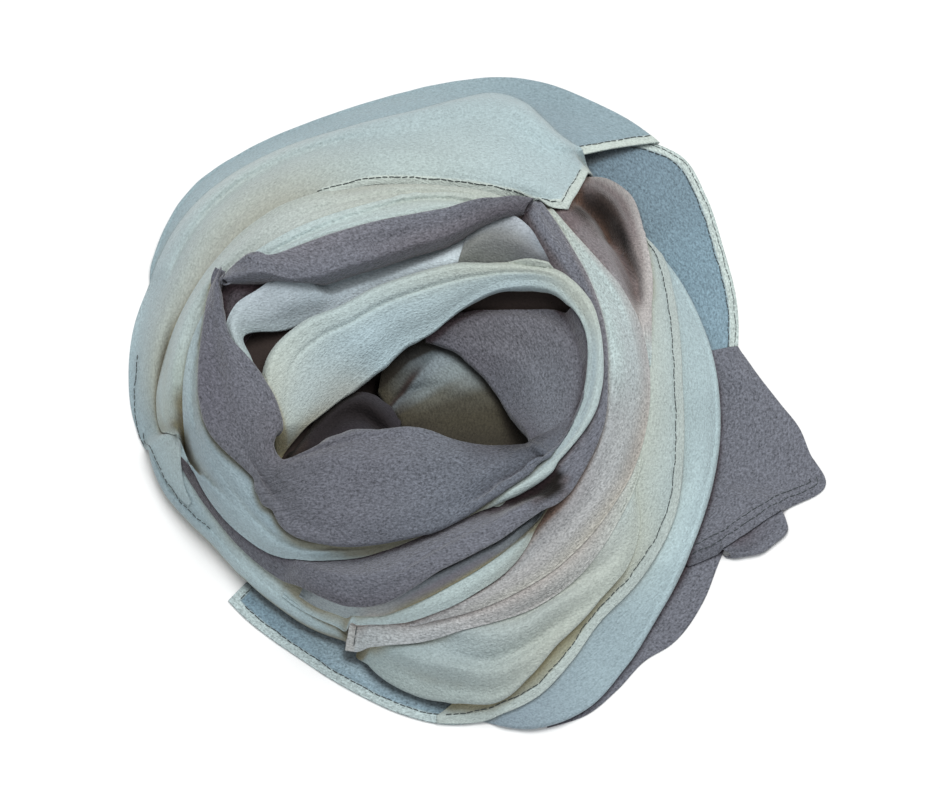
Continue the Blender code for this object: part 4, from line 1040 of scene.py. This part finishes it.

# ----------------------------------------------------------------------
# The lining of the hollow: a cream stretch at the bottom, a mauve curl and a mauve wall. Most of it lies
# in deep shade, and its colours are painted dark with that shade.

PIT_CREAM = [
    (80, 20, 44), (66, 16, 56), (50, 15, 66), (34, 15, 74), (20, 15, 82), (6, 15, 88), (-12, 14, 84),
]
SHADED_PALE = (0.13, 0.16, 0.175)
SHADED_OLIVE = (0.055, 0.049, 0.033)
lay_cloth(
    "hollow_cream", "pit_cream", PIT_CREAM,
    [(0, SHADED_OLIVE, SHADED_OLIVE, SHADED_OLIVE, SHADED_OLIVE),
     (0.2, SHADED_OLIVE, (0.07, 0.075, 0.07), (0.14, 0.165, 0.18), SHADED_OLIVE),
     (0.26, UMBER_SHADE, UMBER_SHADE, SHADED_PALE, SHADED_PALE),
     (0.31, (0.09, 0.1, 0.105), (0.15, 0.18, 0.195), (0.22, 0.265, 0.29), (0.15, 0.18, 0.2)),
     (0.42, (0.06, 0.058, 0.05), (0.18, 0.21, 0.215), (0.21, 0.25, 0.26), (0.18, 0.21, 0.22)),
     (0.53, SHADED_OLIVE, (0.11, 0.11, 0.09), (0.18, 0.205, 0.205), (0.09, 0.1, 0.1)),
     (0.66, SHADED_OLIVE, (0.06, 0.055, 0.04), (0.075, 0.072, 0.055), SHADED_OLIVE),
     (0.8, (0.035, 0.03, 0.022), SHADED_OLIVE, SHADED_OLIVE, UMBER_SHADE),
     (1, UMBER_SHADE, (0.04, 0.035, 0.025), (0.04, 0.035, 0.025), UMBER_SHADE)],
    shaded_chiffon, edges=("fold", "tuck"), along=160, across=50,
    creases=[(0.1, 0.5, 0.2, 0.5, -4.0, 4), (0.3, 0.7, 0.3, 0.8, 2.0, 5)], puff=1.0, seed=43,
    centre=(-22, -14),
)

PIT_CURL = [
    (211, 70, 80, 4), (203, 56, 70, 18), (197, 49, 61, 28), (186, 37, 50, 42), (177, 28, 45, 55),
    (180, 18, 38, 60), (212, 12, 36, 44), (245, 14, 36, 25),
]
lay_cloth(
    "hollow_curl", "pit_curl", PIT_CURL,
    [(0, DEEPEST_SHADE, DEEPEST_SHADE, DEEPEST_SHADE, DEEPEST_SHADE), (0.14, DEEPEST_SHADE, UMBER_SHADE, DEEPEST_SHADE, DEEPEST_SHADE),
     (0.3, (0.025, 0.021, 0.024), (0.02, 0.016, 0.018), (0.02, 0.016, 0.018), UMBER_SHADE),
     (0.55, (0.032, 0.028, 0.034), (0.014, 0.011, 0.012), (0.024, 0.02, 0.024), (0.03, 0.026, 0.03)),
     (0.8, (0.035, 0.032, 0.038), (0.012, 0.009, 0.01), (0.028, 0.025, 0.03), (0.03, 0.027, 0.032)),
     (1, (0.032, 0.028, 0.034), (0.02, 0.017, 0.02), (0.024, 0.02, 0.024), UMBER_SHADE)],
    shaded_chiffon, edges=("fold", "tuck"), along=120, across=40,
    creases=[(0.35, 0.5, 0.3, 1.0, -4.5, 2.5), (0.15, 0.3, 0.35, 1.0, 2.2, 3),
        (0.6, 0.7, 0.4, 0.9, 1.8, 3)],
    seed=44,
)

PIT_MAUVE = [
    (80, 30, 46), (63, 30, 50), (57, 30.5, 54), (47, 31, 60), (38, 31, 69), (30, 32, 81), (20, 34, 90),
    (2, 39, 92), (-16, 49, 89), (-26, 61, 87), (-35, 69, 85),
]
lay_cloth(
    "hollow_mauve", "pit_mauve", PIT_MAUVE,
    [(0, (0.11, 0.11, 0.13), (0.1, 0.095, 0.11), SHADED_MAUVE),
     (0.35, (0.11, 0.11, 0.13), (0.14, 0.14, 0.16), (0.12, 0.12, 0.14)),
     (0.7, (0.1, 0.105, 0.125), (0.14, 0.15, 0.175), (0.11, 0.11, 0.13)),
     (1, (0.09, 0.09, 0.11), (0.13, 0.14, 0.165), MAUVE)],
    mauve_chiffon, edges=("fold", "tuck"), along=160, across=50,
    creases=[(0.3, 0.5, 0.15, 0.75, -2.2, 6), (0.75, 0.7, 0.2, 0.8, 1.2, 6)], puff=1.2, seed=45,
)

# ----------------------------------------------------------------------
# The folds behind the ring: a mauve corner at the left, painted dark plum with the shade under the ring,
# a lilac fold along the rear and a pale gusset at its right end.

CORNER = [(165, 88, 102), (157, 84, 107), (150, 80, 110), (143, 76, 99), (137, 72, 88)]
lay_cloth(
    "plum_corner", "corner_inner", CORNER,
    [(0, (0.1, 0.088, 0.1), SHADED_MAUVE), (1, SHADED_MAUVE, (0.05, 0.04, 0.045))],
    mauve_chiffon, edges=("hem", "hem"), along=60, across=24, seed=46,
)

LAVENDER = [
    (178, 74, 80), (171, 80, 90), (164, 85, 97), (158, 73, 96), (150, 64, 89), (140, 56, 84),
    (127, 50.5, 77), (108, 49, 71), (90, 51, 74), (78, 55.5, 80), (68, 60, 90),
]
lay_cloth(
    "lilac_fold", "lavender", LAVENDER,
    # From its middle on it is painted lighter, painted light that makes up for the shade of the ring
    # above it.
    [(0, PALE, PALE, PALE), (0.3, (0.32, 0.38, 0.41), (0.4, 0.46, 0.5), (0.4, 0.46, 0.5)),
     (0.5, (0.56, 0.65, 0.71), (0.66, 0.76, 0.83), (0.6, 0.69, 0.78)),
     (1, (0.58, 0.66, 0.71), (0.6, 0.68, 0.72), (0.55, 0.62, 0.66))],
    lilac_chiffon, edges=("fold", "tuck"), deep=7.0, along=240, across=40,
    creases=[(0.15, 0.15, 0.4, 1.2, 4.0, 9), (0.45, 0.6, 0.35, 0.95, -1.5, 3.5)], puff=2.0, seed=47,
)

GUSSET = [(71, 62, 84), (62, 66, 97), (54, 72, 96), (46, 80, 91), (40, 84, 88)]
lay_cloth(
    "pale_gusset", "gusset", GUSSET,
    # Its inner side is painted dark: painted shade in the crevice it lies in.
    [(0, (0.12, 0.13, 0.115), (0.2, 0.21, 0.2), (0.4, 0.44, 0.47)),
     (0.5, (0.13, 0.135, 0.12), (0.19, 0.2, 0.2), (0.38, 0.42, 0.46)),
     (0.8, (0.14, 0.15, 0.15), (0.17, 0.18, 0.19), (0.22, 0.25, 0.28)),
     (1, (0.06, 0.055, 0.06), (0.08, 0.08, 0.09), (0.1, 0.1, 0.11))],
    lilac_chiffon, edges=("tuck", "tuck"), along=90, across=40,
    creases=[(0.45, 0.55, 0.0, 1.0, 1.6, 6)], seed=48,
)

# ----------------------------------------------------------------------
# The mauve ring at the rear: a soft fold over the rolls and the lilac fold, turned under along
# both of its long edges.

RING_REAR = [
    (153, 104, 109.5), (149, 92, 108), (145.5, 83.5, 103), (140.5, 74, 94), (132, 65.5, 87),
    (120, 61.5, 82), (105, 60, 80), (90, 63.5, 82), (80, 68.5, 87), (70, 79, 96), (63, 91, 105),
    (57.5, 101, 111.5),
]
lay_cloth(
    "mauve_ring_rear", "ring_rear", RING_REAR,
    [(0, MAUVE, MAUVE), (0.3, MAUVE, (0.16, 0.16, 0.185)), (0.7, (0.135, 0.13, 0.15), MAUVE),
     (1, (0.09, 0.085, 0.1), (0.12, 0.12, 0.14))],
    mauve_chiffon, edges=("fold", "fold"), deep=8.0, along=240, across=40,
    creases=[(0.5, 0.4, 0.25, 0.7, -1.4, 4), (0.3, 0.6, 0.45, 0.95, -1.2, 4)], puff=1.0, seed=49,
)

# ----------------------------------------------------------------------
# The cream rim: a broad cream stretch that comes up out of the hollow and round the ring, with
# a narrow groove near its outer edge.

RIM_CREAM = [
    (209, 74, 79.5), (203, 57, 77), (196, 44, 75.5), (186, 33, 74.5), (172, 25, 72), (155, 20, 62),
    (135, 17.5, 52), (115, 19, 50.5), (98, 22, 52), (82, 26, 57), (70, 33, 63), (60, 46, 69),
    (50, 61, 77.5), (36, 77, 89), (20, 84, 94.5), (0, 83.5, 93.7), (-17, 81.5, 91.5), (-34, 78, 86.2),
    (-50, 74, 81.8), (-60, 73, 79.8), (-68, 74.5, 79.6), (-74, 77, 80),
]
lay_cloth(
    "cream_rim", "rim_cream", RIM_CREAM,
    [(0, (0.3, 0.29, 0.22), CREAM, CREAM), (0.08, (0.33, 0.36, 0.34), (0.4, 0.47, 0.47), CREAM),
     (0.25, (0.38, 0.49, 0.53), (0.4, 0.51, 0.55), PALE),
     (0.5, (0.4, 0.5, 0.53), (0.42, 0.52, 0.54), CREAM), (0.6, (0.42, 0.5, 0.49), CREAM, CREAM),
     (0.7, (0.36, 0.44, 0.45), (0.4, 0.5, 0.53), PALE), (1, MINT, MINT, PALE)],
    cream_chiffon, edges=("fold", "fold"), room=2.8, deep=5.0, along=360, across=56, ends=(12, 30),
    creases=[(0.78, 0.8, 0.06, 0.55, -1.8, 1.3), (0.3, 0.4, 0.1, 0.5, 1.5, 7)], seed=50,
)

# ----------------------------------------------------------------------
# The bowl: the broad mauve fold in front of the hollow, the uppermost stretch of all. Its right
# end lies down on the rim.

BOWL = [
    (149.5, 110, 113), (157, 104, 114), (163, 97, 111), (169, 90, 109.5), (175, 81.5, 108.7),
    (184, 74, 108.5), (196, 69.5, 106.5), (204, 71, 102), (211, 79, 98), (216, 77, 96.5), (221, 60, 97),
    (229, 43, 101.5), (243, 33, 99), (256, 29, 93.5), (268, 28.5, 88.5), (280, 30, 84), (290, 33, 81),
    (305, 42, 79.5), (318, 54, 81), (331, 66, 83.5), (342, 74.5, 85), (352, 81, 85.5),
]
lay_cloth(
    "mauve_bowl", "bowl", BOWL,
    # Near its right end its inner edge is painted nearly black: painted shade at the corner of the
    # hollow.
    [(0, (0.12, 0.125, 0.15), (0.125, 0.13, 0.155)), (0.2, (0.135, 0.14, 0.165), (0.115, 0.115, 0.14)),
     (0.35, (0.12, 0.12, 0.14), (0.12, 0.125, 0.145)), (0.5, (0.13, 0.135, 0.16), (0.125, 0.13, 0.155)),
     (0.75, (0.13, 0.14, 0.165), (0.13, 0.145, 0.175)), (0.82, (0.08, 0.082, 0.1), (0.13, 0.145, 0.175)),
     (0.87, (0.03, 0.03, 0.038), (0.125, 0.14, 0.17)), (1, MAUVE, MAUVE)],
    mauve_chiffon, edges=("fold", "fold"), room=3.0, deep=4.5, along=380, across=60, ends=(0, 50),
    press=[(0, 0.1), (0.4, 0.2), (0.85, 0.5), (1, 0.9)],
    creases=[(0.3, 0.45, 0.05, 0.3, 1.6, 6), (0.55, 0.7, 0.02, 0.35, -1.6, 4),
        (0.45, 0.6, 0.55, 0.95, -1.2, 9)],
    puff=1.0, seed=51,
)

# ----------------------------------------------------------------------
# The warm shade in the creases, painted into the colour: light that has passed through cloth on its way
# in. Crease is 0 where a point stands as high as its surroundings and nears 1 where it lies well under
# them.

DEEPEST_CREASE = 0.9
IN_LIGHT = 0.8  # a point this far down still gets all the light
COVERED, HOLLOW = 5, 8  # this much further down it is fully covered, or deep in a hollow
COVER_SHARE, HOLLOW_SHARE = 0.55, 0.3
near_top = blur(laid, 3)
around = blur(laid, 12)
for piece in bpy.data.objects:
    if piece.type != "MESH" or "Crease" not in piece.data.attributes:
        continue
    x, y, z = points_of(piece.data).T
    cover = np.clip((read_field(near_top, x, y) - z - IN_LIGHT) / COVERED, 0, 1)
    depth = np.clip((read_field(around, x, y) - z - IN_LIGHT) / HOLLOW, 0, 1)
    crease = np.clip(COVER_SHARE * cover + HOLLOW_SHARE * depth, 0, DEEPEST_CREASE)
    piece.data.attributes["Crease"].data.foreach_set("value", crease.astype(np.float32))

# ----------------------------------------------------------------------
# The table, the light and the camera: a plain pale surface under a wide soft light, seen from
# the front and well above.

TABLE_SIDE = 6000.0
table_corners = np.array([(-1, -1, 0), (1, -1, 0), (1, 1, 0), (-1, 1, 0)]) * TABLE_SIDE / 2
table_finish = {"Roughness": 0.9, "Specular IOR Level": 0.1}
pale_table = mottled("pale table", 8, (0.93, 0.93, 0.93), (0.95, 0.95, 0.95), table_finish)
add_mesh("table", table_corners + (MIDDLE_X, MIDDLE_Y, 0), [(0, 1, 2, 3)], pale_table)


def add_light(name, place, size, power, colour):
    """A square soft light at place, facing the scarf; power in watts."""
    data = bpy.data.lights.new(name, "AREA")
    data.shape = "SQUARE"
    data.size = size
    data.energy = power
    data.color = colour
    light = bpy.data.objects.new(name, data)
    bpy.context.scene.collection.objects.link(light)
    light.location = place
    level = math.hypot(place[0], place[1])
    light.rotation_euler = (math.atan2(level, place[2]), 0, math.atan2(place[0], -place[1]))


add_light("ceiling_light", (0.25, 0.45, 2.2), 1.5, 46, (1.0, 0.99, 0.97))
add_light("front_light", (-0.9, -1.6, 1.8), 1.2, 9, (0.95, 0.98, 1.0))
world = bpy.data.worlds.new("studio")
world.use_nodes = True
sky = {"Color": (0.92, 0.96, 1.0, 1), "Strength": 0.36}
set_inputs(world.node_tree, world.node_tree.nodes["Background"], sky)
bpy.context.scene.world = world

CAMERA_HEIGHT = math.radians(68)  # angle of the view above the table
CAMERA_DISTANCE = 5.0
CAMERA_AIM = (-0.0034, 0.0026, 0.0011)
SEEN_WIDTH = 0.47  # width of the view at the scarf
camera_data = bpy.data.cameras.new("camera")
camera_data.sensor_width = 36
camera_data.lens = 36 * CAMERA_DISTANCE / SEEN_WIDTH
camera_data.clip_end = 50
camera = bpy.data.objects.new("camera", camera_data)
bpy.context.scene.collection.objects.link(camera)
camera.location = (
    CAMERA_AIM[0],
    CAMERA_AIM[1] - CAMERA_DISTANCE * math.cos(CAMERA_HEIGHT),
    CAMERA_AIM[2] + CAMERA_DISTANCE * math.sin(CAMERA_HEIGHT),
)
camera.rotation_euler = (math.pi / 2 - CAMERA_HEIGHT, 0, 0)
bpy.context.scene.camera = camera
bpy.context.scene.view_settings.view_transform = "Standard"
